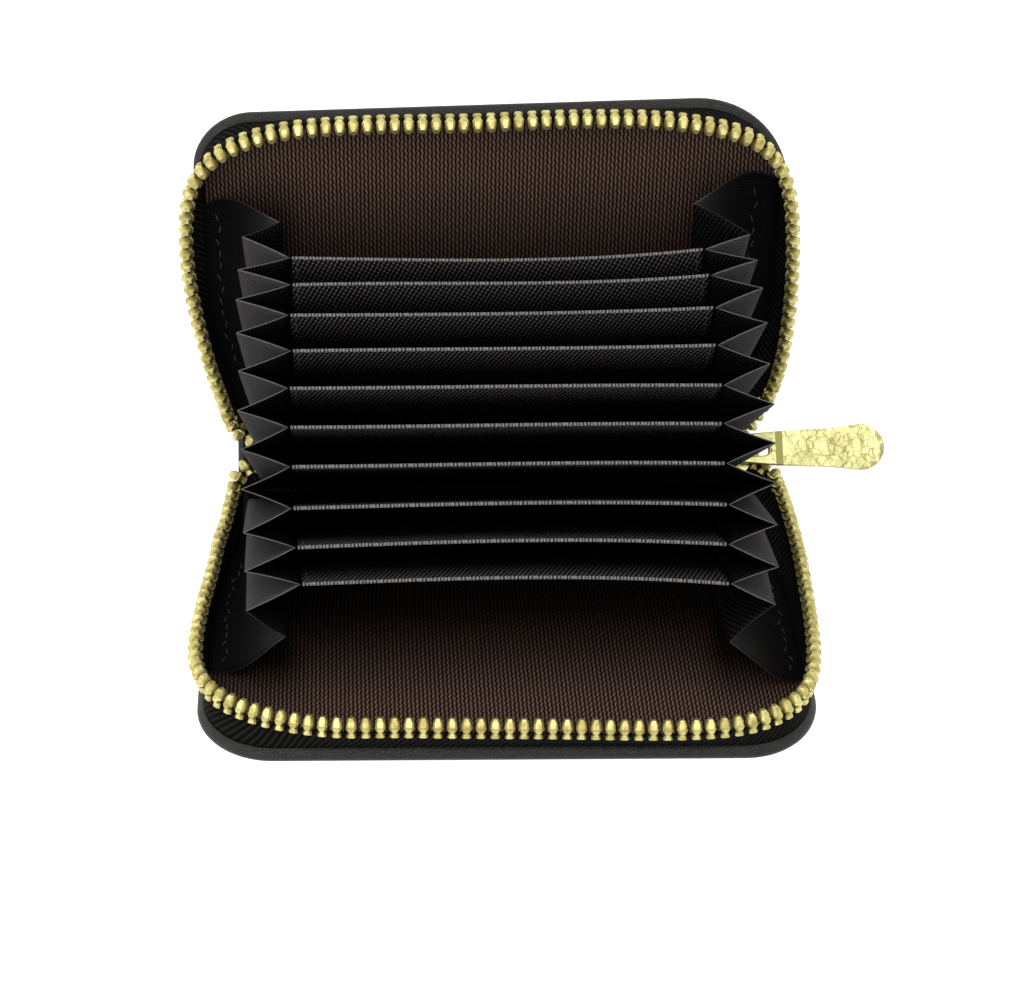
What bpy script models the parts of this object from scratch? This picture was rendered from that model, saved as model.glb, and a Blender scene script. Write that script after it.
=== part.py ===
"""Zip-around card wallet with an accordion of card pockets, open and standing on its spine.

Metres, +Z up. The origin is on the underside of the spine, at its middle. +X runs along
the spine towards the zip's pull tab, and +Y towards the back cover.
"""

import math

import bmesh
import bpy
from mathutils import Matrix, Vector

# Outline of the wallet
cover_width = 0.110
cover_height = 0.068
corner_radius = 0.0145
compartment_depth = 0.015
opening_angle = math.radians(46.5)

# Layers of the wrap, and the gap that keeps two touching pieces apart
leather_thickness = 0.001
board_thickness = 0.0007
lining_thickness = 0.0003
seat_gap = 0.0003
turned_edge_width = 0.002
turned_edge_start = 0.0015
leather_round = 0.0003
board_start = 0.0015

# Zip
tape_thickness = 0.0005
tape_height = 0.003
tape_inset = 0.001
tape_side_start = 0.020
tooth_pitch = 0.00254
tooth_width = 0.0018
tooth_length = 0.0037
tooth_head_share = 0.55
row_back = 0.0006
tooth_thickness = 0.0026
meeting_gap = 0.0002
chain_end_clearance = 0.0025
closed_chain_width = 0.0059
closed_tooth_thickness = 0.0024
stop_length = 0.0013
stop_clearance = 0.0009
side_turn_pull = 0.013
side_turn_drop = 0.0008
spine_turn_pull = 0.0040
spine_turn_spread = 0.0030
tape_tail_height = 0.0022

# Slider and pull tab
slider_length = 0.0105
slider_plate = 0.00085
slider_flange = 0.0012
slider_round = 0.0004
channel_height = 0.0029
channel_width = 0.0063
tape_slot_height = 0.0012
post_length = 0.003
post_width = 0.0011
bridge_start = 0.0030
bridge_end = 0.0095
bridge_bar = 0.0009
bridge_width = 0.002
bridge_opening_height = 0.0026
tab_thickness = 0.0012
tab_bar = 0.001
tab_pivot_to_bridge = 0.0011
tab_reach = 0.0283
tab_root_width = 0.0052
tab_neck_width = 0.0069
tab_neck_reach = 0.0085
tab_wide_width = 0.0095
tab_hole_length = 0.0022
tab_hole_width = 0.003
tab_tilt = math.radians(0.0)
tab_round = 0.0003
tab_end_turn = 80.0
bridge_corner_share = 0.5
bridge_shoulder_share = 0.25

# Accordion
divider_count = 10
accordion_inset = 0.0175
divider_height = 0.0605
divider_thickness = 0.0006
divider_bead = 0.0009
divider_bead_height = 0.0012
base_margin = 0.00117
fan_step = math.radians(5.2)
gusset_thickness = 0.0003
gusset_start = 0.009
gusset_top_drop = 0.0002
gusset_base_reach = 0.0030
gusset_mouth_reach = 0.0090
gusset_outer_reach = 0.0017
gusset_sewn_inset = 0.0045
gusset_sewn_drop = 0.0023
outer_fold_turns = 5.45

# Counts, the merging of doubled points and the extra length of every cutter
corner_steps = 8
turn_steps = 14
gusset_rows = 3
weld_share = 0.01
cutter_overrun = 0.002

# Places that follow from the sizes above
inner_face = leather_thickness / 2 + seat_gap + board_thickness + seat_gap + lining_thickness
wrap_depth = inner_face + leather_thickness / 2
hinge_y = compartment_depth / 2 + inner_face
hinge_z = leather_thickness + seat_gap + leather_thickness / 2
spine_top = wrap_depth
spine_layer_half = hinge_y - leather_thickness / 2 - seat_gap
base_z = spine_top + seat_gap
tape_bottom = inner_face + seat_gap
tape_top = tape_bottom + tape_height
tooth_root = tape_top + seat_gap
tooth_middle = tooth_root + tooth_length / 2
chain_z = spine_top + seat_gap + slider_plate + channel_height / 2
row_offset = meeting_gap + tooth_length / 2
slider_height = channel_height + 2 * slider_plate
slider_width = channel_width + 2 * slider_flange
divider_width = cover_width - 2 * accordion_inset
base_pitch = (compartment_depth - 2 * base_margin) / (divider_count - 1)
gusset_tip_base = divider_width / 2 + gusset_base_reach
gusset_tip_mouth = divider_width / 2 + gusset_mouth_reach
gusset_outer_fold = divider_width / 2 + gusset_outer_reach
gusset_top = divider_height - gusset_top_drop
gusset_sewn_line = cover_width / 2 - gusset_sewn_inset
gusset_sewn_top = divider_height - gusset_sewn_drop
chain_end = divider_width / 2 + chain_end_clearance
stop_start = divider_width / 2 + stop_clearance
slider_rear = stop_start + stop_length + seat_gap

for old in list(bpy.data.objects):
    bpy.data.objects.remove(old, do_unlink=True)

wallet = bpy.data.collections.new("card_wallet")
cutters = bpy.data.collections.new("cutters")
bpy.context.scene.collection.children.link(wallet)
bpy.context.scene.collection.children.link(cutters)


def material(name, colour, roughness, metallic):
    """One Principled BSDF for one finish."""
    made = bpy.data.materials.new(name)
    made.use_nodes = True
    shader = made.node_tree.nodes["Principled BSDF"]
    shader.inputs["Base Color"].default_value = (*colour, 1.0)
    shader.inputs["Roughness"].default_value = roughness
    shader.inputs["Metallic"].default_value = metallic
    return made


leather = material("leather", (0.035, 0.034, 0.037), 0.5, 0.0)
board = material("board", (0.30, 0.27, 0.22), 0.9, 0.0)
lining = material("lining", (0.045, 0.028, 0.027), 0.75, 0.0)
pocket_cloth = material("pocket_cloth", (0.022, 0.019, 0.020), 0.7, 0.0)
tape_cloth = material("tape_cloth", (0.015, 0.014, 0.015), 0.8, 0.0)
brass = material("brass", (0.78, 0.64, 0.30), 0.3, 1.0)
pale_gold = material("pale_gold", (0.86, 0.78, 0.52), 0.3, 1.0)


def place(mesh, name, finish, parent=None):
    """Puts a mesh into the wallet's collection as one named piece."""
    piece = bpy.data.objects.new(name, mesh)
    mesh.materials.clear()
    mesh.materials.append(finish)
    wallet.objects.link(piece)
    piece.parent = parent
    return piece


def outline_mesh(name, points, depth):
    """A flat outline with thickness: x and y as given, z from minus to plus half the depth."""
    curve = bpy.data.curves.new(name, "CURVE")
    curve.dimensions = "2D"
    curve.fill_mode = "BOTH"
    curve.extrude = depth / 2
    spline = curve.splines.new("POLY")
    spline.points.add(len(points) - 1)
    for point, (x, y) in zip(spline.points, points):
        point.co = (x, y, 0.0, 1.0)
    spline.use_cyclic_u = True
    drawn = bpy.data.objects.new(name + "_outline", curve)
    wallet.objects.link(drawn)
    bpy.context.view_layer.update()
    seen = drawn.evaluated_get(bpy.context.evaluated_depsgraph_get())
    mesh = bpy.data.meshes.new_from_object(seen)
    bpy.data.objects.remove(drawn, do_unlink=True)
    weld = bmesh.new()
    weld.from_mesh(mesh)
    bmesh.ops.remove_doubles(weld, verts=weld.verts, dist=seat_gap * weld_share)
    bmesh.ops.recalc_face_normals(weld, faces=weld.faces)
    weld.to_mesh(mesh)
    weld.free()
    return mesh


def box_mesh(name, low, high):
    """A box between two corners."""
    solid = bmesh.new()
    bmesh.ops.create_cube(solid, size=1.0)
    size = Vector(high) - Vector(low)
    middle = (Vector(high) + Vector(low)) / 2
    bmesh.ops.scale(solid, vec=size, verts=solid.verts)
    bmesh.ops.translate(solid, vec=middle, verts=solid.verts)
    mesh = bpy.data.meshes.new(name)
    solid.to_mesh(mesh)
    solid.free()
    return mesh


def boolean(piece, mesh, name, operation):
    """Cuts a piece by a mesh, or joins the mesh to it, in the piece's own frame."""
    tool = bpy.data.objects.new(name, mesh)
    cutters.objects.link(tool)
    tool.parent = piece.parent
    tool.location = piece.location
    tool.rotation_euler = piece.rotation_euler
    tool.hide_render = True
    tool.display_type = "WIRE"
    change = piece.modifiers.new(name, "BOOLEAN")
    change.operation = operation
    change.solver = "EXACT"
    change.object = tool


def rounded_edges(piece, width):
    """Breaks the sharp edges of a piece."""
    bevel = piece.modifiers.new("rounded_edges", "BEVEL")
    bevel.width = width
    bevel.segments = 1
    bevel.limit_method = "ANGLE"
    bevel.angle_limit = math.radians(50.0)


def arc(centre, radius, start, end, steps):
    """Points along an arc, both ends included, angles in degrees."""
    return [
        (
            centre[0] + radius * math.cos(math.radians(start + (end - start) * k / steps)),
            centre[1] + radius * math.sin(math.radians(start + (end - start) * k / steps)),
        )
        for k in range(steps + 1)
    ]


def cover_outline(inset, bottom):
    """The cover's outline moved in by an inset, from a bottom line up to the mouth edge."""
    half = cover_width / 2 - inset
    top = cover_height - inset
    radius = corner_radius - inset
    points = [(-half, bottom), (half, bottom)]
    points += arc((half - radius, top - radius), radius, 0, 90, corner_steps)
    points += arc((radius - half, top - radius), radius, 90, 180, corner_steps)
    return points


def cover_frame(name, turned):
    """An empty on the fold line: its x runs along the fold, y up the cover, z inwards."""
    frame = bpy.data.objects.new(name, None)
    wallet.objects.link(frame)
    frame.location = (0, -hinge_y if turned else hinge_y, hinge_z)
    frame.rotation_euler = (math.pi / 2 - opening_angle, 0, math.pi if turned else 0)
    return frame


def cover_leather(side, frame):
    """The outer leather with its turned edge standing round three sides."""
    depth = wrap_depth
    mesh = outline_mesh("leather", cover_outline(0, 0), depth)
    mesh.transform(Matrix.Translation((0, 0, depth / 2 - leather_thickness / 2)))
    piece = place(mesh, side + "_cover_leather", leather, frame)
    rounded_edges(piece, leather_round)
    inset = turned_edge_width
    half = cover_width / 2 - inset
    low = -cutter_overrun
    wide = cover_width / 2 + cutter_overrun
    points = [(-wide, low), (wide, low), (wide, turned_edge_start), (half, turned_edge_start)]
    points += cover_outline(inset, turned_edge_start)[2:]
    points += [(-half, turned_edge_start), (-wide, turned_edge_start)]
    height = depth + cutter_overrun
    pocket = outline_mesh("pocket", points, height)
    pocket.transform(Matrix.Translation((0, 0, leather_thickness / 2 + height / 2)))
    boolean(piece, pocket, side + "_leather_pocket", "DIFFERENCE")


def cover_layer(name, frame, low, thickness, finish):
    """A board or lining that lies inside the turned edge."""
    mesh = outline_mesh("layer", cover_outline(turned_edge_width + seat_gap, board_start), thickness)
    mesh.transform(Matrix.Translation((0, 0, low + thickness / 2)))
    place(mesh, name, finish, frame)


def chain_lengths():
    """The straight side, the bend and the straight mouth edge of the zip's line on a cover."""
    half = cover_width / 2 - tape_inset
    top = cover_height - tape_inset
    radius = corner_radius - tape_inset
    return top - radius - tape_side_start, radius * math.pi / 2, 2 * (half - radius)


def chain_at(s):
    """The zip's line on a cover, s metres along it: its place and its direction."""
    half = cover_width / 2 - tape_inset
    top = cover_height - tape_inset
    radius = corner_radius - tape_inset
    side, bend, across = chain_lengths()
    if s < side:
        return Vector((half, tape_side_start + s, 0)), Vector((0, 1, 0))
    if s < side + bend:
        turn = (s - side) / radius
        middle = Vector((half - radius, top - radius, 0))
    elif s < side + bend + across:
        return Vector((half - radius - (s - side - bend), top, 0)), Vector((-1, 0, 0))
    elif s < side + 2 * bend + across:
        turn = math.pi / 2 + (s - side - bend - across) / radius
        middle = Vector((radius - half, top - radius, 0))
    else:
        down = s - side - 2 * bend - across
        return Vector((-half, top - radius - down, 0)), Vector((0, -1, 0))
    out = Vector((math.cos(turn), math.sin(turn), 0))
    return middle + radius * out, Vector((-out.y, out.x, 0))


def tape_band():
    """The tape's outline seen along its height: a narrow band round three sides."""
    outer = cover_outline(tape_inset - tape_thickness / 2, tape_side_start)
    inner = cover_outline(tape_inset + tape_thickness / 2, tape_side_start)
    return outer[1:] + [outer[0]] + [inner[0]] + inner[:0:-1]


def row_along(name, count, frame_at, parent=None):
    """A comb of teeth on one back, bent to a line whose frame gives a place, the way to the
    heads and across. The flat comb gets the teeth's thickness from Solidify."""
    low = -tooth_length / 2
    high = tooth_length / 2
    floor = low + row_back
    root = tooth_width / 2
    head = root * tooth_head_share
    outline = [(-root, low), (root, low), (root, floor), (head, high), (-head, high), (-root, floor)]
    comb = bmesh.new()
    before = None
    for k in range(count):
        verts = []
        for x, y in outline:
            at, up, across = frame_at(k * tooth_pitch + x)
            verts.append(comb.verts.new(at + y * up))
        comb.faces.new(verts)
        if before:
            comb.faces.new((before[1], verts[0], verts[5], before[2]))
        before = verts
    mesh = bpy.data.meshes.new(name)
    comb.to_mesh(mesh)
    comb.free()
    piece = place(mesh, name, brass, parent)
    wall = piece.modifiers.new("thickness", "SOLIDIFY")
    wall.thickness = tooth_thickness
    wall.offset = 0


def cover_zip(side, frame):
    """The tape that stands on the turned edge, and the row of teeth along its edge."""
    mesh = outline_mesh("tape", tape_band(), tape_height)
    mesh.transform(Matrix.Translation((0, 0, tape_bottom + tape_height / 2)))
    place(mesh, "zip_tape_" + side, tape_cloth, frame)
    total = sum(chain_lengths()) + sum(chain_lengths()[:2])
    count = int(total / tooth_pitch)
    first = (total - (count - 1) * tooth_pitch) / 2

    def frame_at(s):
        at, along = chain_at(first + s)
        head = Vector((0, 0, 1))
        return at + head * tooth_middle, head, along.cross(head)

    row_along("zip_teeth_" + side, count, frame_at, frame)


def cover_point(side, x, y, z):
    """A place on a cover's own frame, in the wallet's frame. Side is 1 at the back, -1 in front."""
    turn = Matrix.Rotation(math.pi / 2 - opening_angle, 4, "X")
    held = Matrix.Translation((0, hinge_y, hinge_z)) @ turn
    point = held @ Vector((x, y, z))
    return Vector((point.x, side * point.y, point.z))


def zip_turn(side, end):
    """The row's line from a cover's side down to the spine's end: places, and ways to the head."""
    half = cover_width / 2 - tape_inset
    start = cover_point(side, end * half, tape_side_start, tooth_middle)
    below = cover_point(side, end * half, tape_side_start - side_turn_pull, tooth_middle)
    below.z -= side_turn_drop
    finish = Vector((end * chain_end, side * row_offset, chain_z))
    mouth = Vector((end * (slider_rear + slider_length + seat_gap), side * row_offset, chain_z))
    before = mouth + Vector((end * spine_turn_pull, side * spine_turn_spread, 0))
    head_start = cover_point(side, end * half, tape_side_start, tooth_middle + tooth_length) - start
    head_start.normalize()
    head_end = Vector((0, -side, 0))
    places = []
    heads = []
    for k in range(turn_steps + 1):
        t = k / turn_steps
        u = 1 - t
        places.append(u**3 * start + 3 * u * u * t * below + 3 * u * t * t * before + t**3 * mouth)
        heads.append((u * head_start + t * head_end).normalized())
    places.append(finish)
    heads.append(head_end)
    return places, heads


def frames_along(places, heads):
    """The direction, the way to the head and the way across at each place of a line."""
    found = []
    last = len(places) - 1
    for k, at in enumerate(places):
        along = (places[min(k + 1, last)] - places[max(k - 1, 0)]).normalized()
        if k == 0:
            along = (along - along.dot(heads[0]) * heads[0]).normalized()
        head = (heads[k] - heads[k].dot(along) * along).normalized()
        found.append((at, along, head, along.cross(head)))
    return found


def loft(name, sections, finish):
    """A closed tube through sections of four corners each."""
    solid = bmesh.new()
    rings = [[solid.verts.new(corner) for corner in section] for section in sections]
    for one, other in zip(rings, rings[1:]):
        for k in range(4):
            solid.faces.new((one[k], one[(k + 1) % 4], other[(k + 1) % 4], other[k]))
    solid.faces.new(rings[0])
    solid.faces.new(rings[-1])
    bmesh.ops.recalc_face_normals(solid, faces=solid.faces)
    mesh = bpy.data.meshes.new(name)
    solid.to_mesh(mesh)
    solid.free()
    place(mesh, name, finish)


def zip_end(side, end, name):
    """The soft end of a tape, from the cover's side to its tail over the spine."""
    sections = []
    near = -tooth_length / 2 - seat_gap
    half = tape_thickness / 2
    frames = frames_along(*zip_turn(side, end))
    for k, (at, along, head, across) in enumerate(frames):
        narrowing = min(1, 2 * k / len(frames))
        far = near - tape_height + (tape_height - tape_tail_height) * narrowing
        if k == 0:
            at = at + seat_gap * along
        corners = [(near, half), (far, half), (far, -half), (near, -half)]
        sections.append([at + a * head + b * across for a, b in corners])
    loft(name, sections, tape_cloth)


def zip_end_row(side, end, name):
    """The teeth on a tape's soft end. The right ends stop where the slider begins."""
    places, heads = zip_turn(side, end)
    if end > 0:
        places = places[:-1]
        heads = heads[:-1]
    frames = frames_along(places, heads)
    lengths = [0]
    for one, other in zip(frames, frames[1:]):
        lengths.append(lengths[-1] + (other[0] - one[0]).length)

    def frame_at(s):
        due = s + tooth_pitch
        k = 0
        while k < len(frames) - 2 and lengths[k + 1] < due:
            k += 1
        t = (due - lengths[k]) / (lengths[k + 1] - lengths[k])
        at = frames[k][0].lerp(frames[k + 1][0], t)
        head = frames[k][2].lerp(frames[k + 1][2], t).normalized()
        across = frames[k][3].lerp(frames[k + 1][3], t).normalized()
        return at, head, across

    count = int((lengths[-1] - tooth_width) / tooth_pitch)
    row_along(name, count, frame_at)


def fan(turns, reach):
    """A place in the accordion: y and z at a reach from the base, some pleats from the middle."""
    angle = turns * fan_step
    return turns * base_pitch + reach * math.sin(angle), base_z + reach * math.cos(angle)


def gusset_lines(reach_share):
    """One section of the pleated gusset from the back cover to the front: (x, y, z) of each fold."""
    reach = gusset_start + (gusset_top - gusset_start) * reach_share
    tip = gusset_tip_base + (gusset_tip_mouth - gusset_tip_base) * reach_share
    inner = divider_width / 2 + seat_gap + gusset_thickness / 2
    sewn = gusset_start + (gusset_sewn_top - gusset_start) * reach_share
    lift = inner_face + seat_gap + gusset_thickness / 2
    folds = []
    last = divider_count / 2
    folds.append(tuple(cover_point(1, gusset_sewn_line, sewn, lift)))
    folds.append((gusset_outer_fold, *fan(outer_fold_turns, reach)))
    for k in range(divider_count):
        folds.append((tip, *fan(last - k, reach)))
        folds.append((inner, *fan(last - k - 0.5, reach)))
    folds.append((tip, *fan(-last, reach)))
    folds.append((gusset_outer_fold, *fan(-outer_fold_turns, reach)))
    folds.append(tuple(cover_point(-1, gusset_sewn_line, sewn, lift)))
    return [Vector(fold) for fold in folds]


def pleat_ring(folds):
    """The two sides of a pleated sheet at one section, with blunt folds and mitred inner corners."""
    outer = []
    inner = []
    half = gusset_thickness / 2
    last = len(folds) - 1
    for k, fold in enumerate(folds):
        step = (folds[min(k + 1, last)] - folds[max(k - 1, 0)]).normalized()
        if k in (0, last):
            normal = Vector((-step.y, step.x, 0)).normalized()
            if normal.x < 0:
                normal = -normal
            outer.append([fold + half * normal])
            inner.append([fold - half * normal])
            continue
        step.x = 0
        step.normalize()
        span = (folds[k + 1] - folds[k - 1]).length
        towards = (folds[k + 1] + folds[k - 1]) / 2 - fold
        crotch = fold + towards * min(0.5, 2 * half / span)
        blunt = [fold - half * step, fold + half * step]
        if towards.x < 0:
            outer.append(blunt)
            inner.append([crotch])
        else:
            outer.append([crotch])
            inner.append(blunt)
    return outer, inner


def gusset(name, mirrored):
    """One side of the accordion: a single pleated strip, spread from its base to its mouth."""
    solid = bmesh.new()
    rows = []
    sign = -1 if mirrored else 1
    for row in range(gusset_rows):
        outer, inner = pleat_ring(gusset_lines(row / (gusset_rows - 1)))
        made = []
        for side in (outer, inner):
            made.append([[solid.verts.new((sign * p.x, p.y, p.z)) for p in fold] for fold in side])
        rows.append(made)
    for low, high in zip(rows, rows[1:]):
        for side in (0, 1):
            line_low = [vert for fold in low[side] for vert in fold]
            line_high = [vert for fold in high[side] for vert in fold]
            for k in range(len(line_low) - 1):
                solid.faces.new((line_low[k], line_low[k + 1], line_high[k + 1], line_high[k]))
        for fold in (0, -1):
            a, b = low[0][fold][0], low[1][fold][0]
            c, d = high[1][fold][0], high[0][fold][0]
            solid.faces.new((a, b, c, d))
    for outer, inner in (rows[0], rows[-1]):
        for k, (a, b) in enumerate(zip(outer, inner)):
            if len(a) + len(b) > 2:
                solid.faces.new((*a, *b))
            if k + 1 < len(outer):
                solid.faces.new((a[-1], outer[k + 1][0], inner[k + 1][0], b[-1]))
    bmesh.ops.recalc_face_normals(solid, faces=solid.faces)
    mesh = bpy.data.meshes.new(name)
    solid.to_mesh(mesh)
    solid.free()
    place(mesh, name, pocket_cloth)


def divider(number):
    """One pocket wall on its base line, with a bead along its mouth edge."""
    half = divider_thickness / 2
    bead = divider_bead / 2
    top = divider_height
    neck = top - divider_bead_height
    points = [(-half, 0), (half, 0), (half, neck - bead), (bead, neck), (bead, top)]
    points += [(-bead, top), (-bead, neck), (-half, neck - bead)]
    mesh = outline_mesh("divider", points, divider_width)
    mesh.transform(Matrix.Rotation(math.pi / 2, 4, "X"))
    mesh.transform(Matrix.Rotation(math.pi / 2, 4, "Z"))
    piece = place(mesh, "divider_%02d" % number, pocket_cloth)
    turns = (divider_count + 1) / 2 - number
    piece.location = (0, turns * base_pitch, base_z)
    piece.rotation_euler = (-turns * fan_step, 0, 0)


# Spine: leather strip with a turned edge at each end, its board and its lining
spine_half = hinge_y + leather_thickness / 2
spine_mesh = box_mesh(
    "spine",
    (-cover_width / 2, -spine_half, 0),
    (cover_width / 2, spine_half, leather_thickness),
)
spine = place(spine_mesh, "spine_leather", leather)
rounded_edges(spine, leather_round)
lip = spine_layer_half
for end in (-1, 1):
    near = end * (cover_width / 2 - leather_round)
    far = end * (cover_width / 2 - turned_edge_width)
    edge_mesh = box_mesh(
        "turned_edge",
        (min(near, far), -lip, leather_thickness / 2),
        (max(near, far), lip, spine_top),
    )
    boolean(spine, edge_mesh, "spine_edge_" + ("left" if end < 0 else "right"), "UNION")

layer_x = cover_width / 2 - turned_edge_width - seat_gap
board_low = leather_thickness + seat_gap
lining_low = board_low + board_thickness + seat_gap
spine_board = box_mesh(
    "spine_board",
    (-layer_x, -spine_layer_half, board_low),
    (layer_x, spine_layer_half, board_low + board_thickness),
)
place(spine_board, "spine_board", board)
spine_lining = box_mesh(
    "spine_lining",
    (-layer_x, -spine_layer_half, lining_low),
    (layer_x, spine_layer_half, lining_low + lining_thickness),
)
place(spine_lining, "spine_lining", lining)

# Covers: leather, board, lining, tape and teeth, the same on both sides
for side, turned in (("back", False), ("front", True)):
    frame = cover_frame(side + "_cover_fold", turned)
    cover_leather(side, frame)
    cover_board_low = leather_thickness / 2 + seat_gap
    cover_lining_low = cover_board_low + board_thickness + seat_gap
    cover_layer(side + "_cover_board", frame, cover_board_low, board_thickness, board)
    cover_layer(side + "_cover_lining", frame, cover_lining_low, lining_thickness, lining)
    cover_zip(side, frame)

# Accordion: ten walls and a pleated gusset at each side
for number in range(1, divider_count + 1):
    divider(number)
gusset("gusset_right", False)
gusset("gusset_left", True)

# Soft ends of the zip, down to the spine at both sides
for side_name, side in (("back", 1), ("front", -1)):
    for end_name, end in (("left", -1), ("right", 1)):
        zip_end(side, end, "zip_tape_end_" + side_name + "_" + end_name)
        zip_end_row(side, end, "zip_teeth_end_" + side_name + "_" + end_name)

# Closed chain in the slider: teeth in turn from each side
closed_start = slider_rear
closed_step = tooth_pitch / 2
closed_count = int((slider_length - post_length - seat_gap) / closed_step)
closed_half = closed_chain_width / 2
closed_upper = []
closed_lower = []
for k in range(closed_count):
    near = closed_start + k * closed_step
    reach = closed_half if k % 2 else closed_half - closed_step
    closed_upper += [(near, reach), (near + closed_step, reach)]
    reach = closed_half - closed_step if k % 2 else closed_half
    closed_lower += [(near, -reach), (near + closed_step, -reach)]
closed_mesh = outline_mesh("closed", closed_upper + closed_lower[::-1], closed_tooth_thickness)
closed_mesh.transform(Matrix.Translation((0, 0, chain_z)))
place(closed_mesh, "zip_chain_closed", brass)

# Stops: one across both rows at the closed end, one on each row at the open end
stop_half = closed_chain_width / 2
bottom_stop = box_mesh(
    "bottom_stop",
    (stop_start, -stop_half, chain_z - closed_tooth_thickness / 2),
    (stop_start + stop_length, stop_half, chain_z + closed_tooth_thickness / 2),
)
place(bottom_stop, "zip_bottom_stop", brass)
top_stop_x = seat_gap - chain_end
for side_name, side in (("back", 1), ("front", -1)):
    edges = (side * meeting_gap, side * (meeting_gap + tooth_length))
    stop = box_mesh(
        "top_stop",
        (top_stop_x, min(edges), chain_z - closed_tooth_thickness / 2),
        (top_stop_x + stop_length, max(edges), chain_z + closed_tooth_thickness / 2),
    )
    place(stop, "zip_top_stop_" + side_name, brass)

# Slider: two plates joined by a post, with channels for the chain and the tape, and a bridge
slider_frame = bpy.data.objects.new("slider_run", None)
wallet.objects.link(slider_frame)
slider_frame.location = (slider_rear, 0, chain_z)
half_height = slider_height / 2
slider_mesh = box_mesh(
    "slider", (0, -slider_width / 2, -half_height), (slider_length, slider_width / 2, half_height)
)
slider = place(slider_mesh, "zip_slider", pale_gold, slider_frame)
rounded_edges(slider, slider_round)
channel = box_mesh(
    "channel",
    (-cutter_overrun, -channel_width / 2, -channel_height / 2),
    (slider_length + cutter_overrun, channel_width / 2, channel_height / 2),
)
boolean(slider, channel, "slider_channel", "DIFFERENCE")
slot = box_mesh(
    "slot",
    (-cutter_overrun, -slider_width / 2 - cutter_overrun, -tape_slot_height / 2),
    (slider_length + cutter_overrun, slider_width / 2 + cutter_overrun, tape_slot_height / 2),
)
boolean(slider, slot, "slider_tape_slot", "DIFFERENCE")
post_end = slider_length - 2 * slider_round
post_points = [
    (post_end - post_length, 0),
    (post_end, -post_width / 2),
    (post_end, post_width / 2),
]
post_mesh = outline_mesh("post", post_points, channel_height + slider_plate)
boolean(slider, post_mesh, "slider_post", "UNION")
bridge_low = half_height - slider_plate / 2
bridge_under = half_height + bridge_opening_height
bridge_top = bridge_under + bridge_bar
bridge_corner = bridge_bar * (1 + bridge_corner_share)
bridge_shoulder = bridge_under + bridge_bar * bridge_shoulder_share
bridge_points = [
    (bridge_start, bridge_low),
    (bridge_start + bridge_bar, bridge_low),
    (bridge_start + bridge_bar, bridge_under - bridge_bar / 2),
    (bridge_start + bridge_corner, bridge_under),
    (bridge_end - bridge_corner, bridge_under),
    (bridge_end - bridge_bar, bridge_under - bridge_bar / 2),
    (bridge_end - bridge_bar, bridge_low),
    (bridge_end, bridge_low),
    (bridge_end, bridge_shoulder),
    (bridge_end - bridge_bar, bridge_top),
    (bridge_start + bridge_bar, bridge_top),
    (bridge_start, bridge_shoulder),
]
bridge_mesh = outline_mesh("bridge", bridge_points, bridge_width)
bridge_mesh.transform(Matrix.Rotation(math.pi / 2, 4, "X"))
boolean(slider, bridge_mesh, "slider_bridge", "UNION")

# Pull tab: a narrow end with a hole round the bridge, widening to a round end
tab_frame = bpy.data.objects.new("tab_pivot", None)
wallet.objects.link(tab_frame)
tab_frame.parent = slider_frame
tab_frame.location = (
    bridge_end - bridge_bar - tab_pivot_to_bridge,
    0,
    half_height + bridge_opening_height / 2,
)
tab_frame.rotation_euler = (0, -tab_tilt, 0)
neck = tab_neck_width / 2
wide = tab_wide_width / 2
root = tab_root_width / 2
tab_points = [(-tab_bar / 2, -root + tab_bar / 2), (tab_bar / 2, -root), (tab_neck_reach, -neck)]
tab_points += arc((tab_reach - wide, 0), wide, -tab_end_turn, tab_end_turn, 2 * corner_steps)
tab_points += [(tab_neck_reach, neck), (tab_bar / 2, root), (-tab_bar / 2, root - tab_bar / 2)]
tab_mesh = outline_mesh("tab", tab_points, tab_thickness)
tab = place(tab_mesh, "pull_tab", pale_gold, tab_frame)
rounded_edges(tab, tab_round)
hole = box_mesh(
    "hole",
    (tab_bar / 2, -tab_hole_width / 2, -tab_thickness / 2 - cutter_overrun),
    (tab_bar / 2 + tab_hole_length, tab_hole_width / 2, tab_thickness / 2 + cutter_overrun),
)
boolean(tab, hole, "tab_hole", "DIFFERENCE")
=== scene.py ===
"""A zip-around card wallet, open, seen from above into its accordion of ten dividers.

Metres, +X along the spine towards the pull tab, +Y towards the back cover, +Z up.
"""

import bpy
import numpy as np
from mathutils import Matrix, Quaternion, Vector


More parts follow.
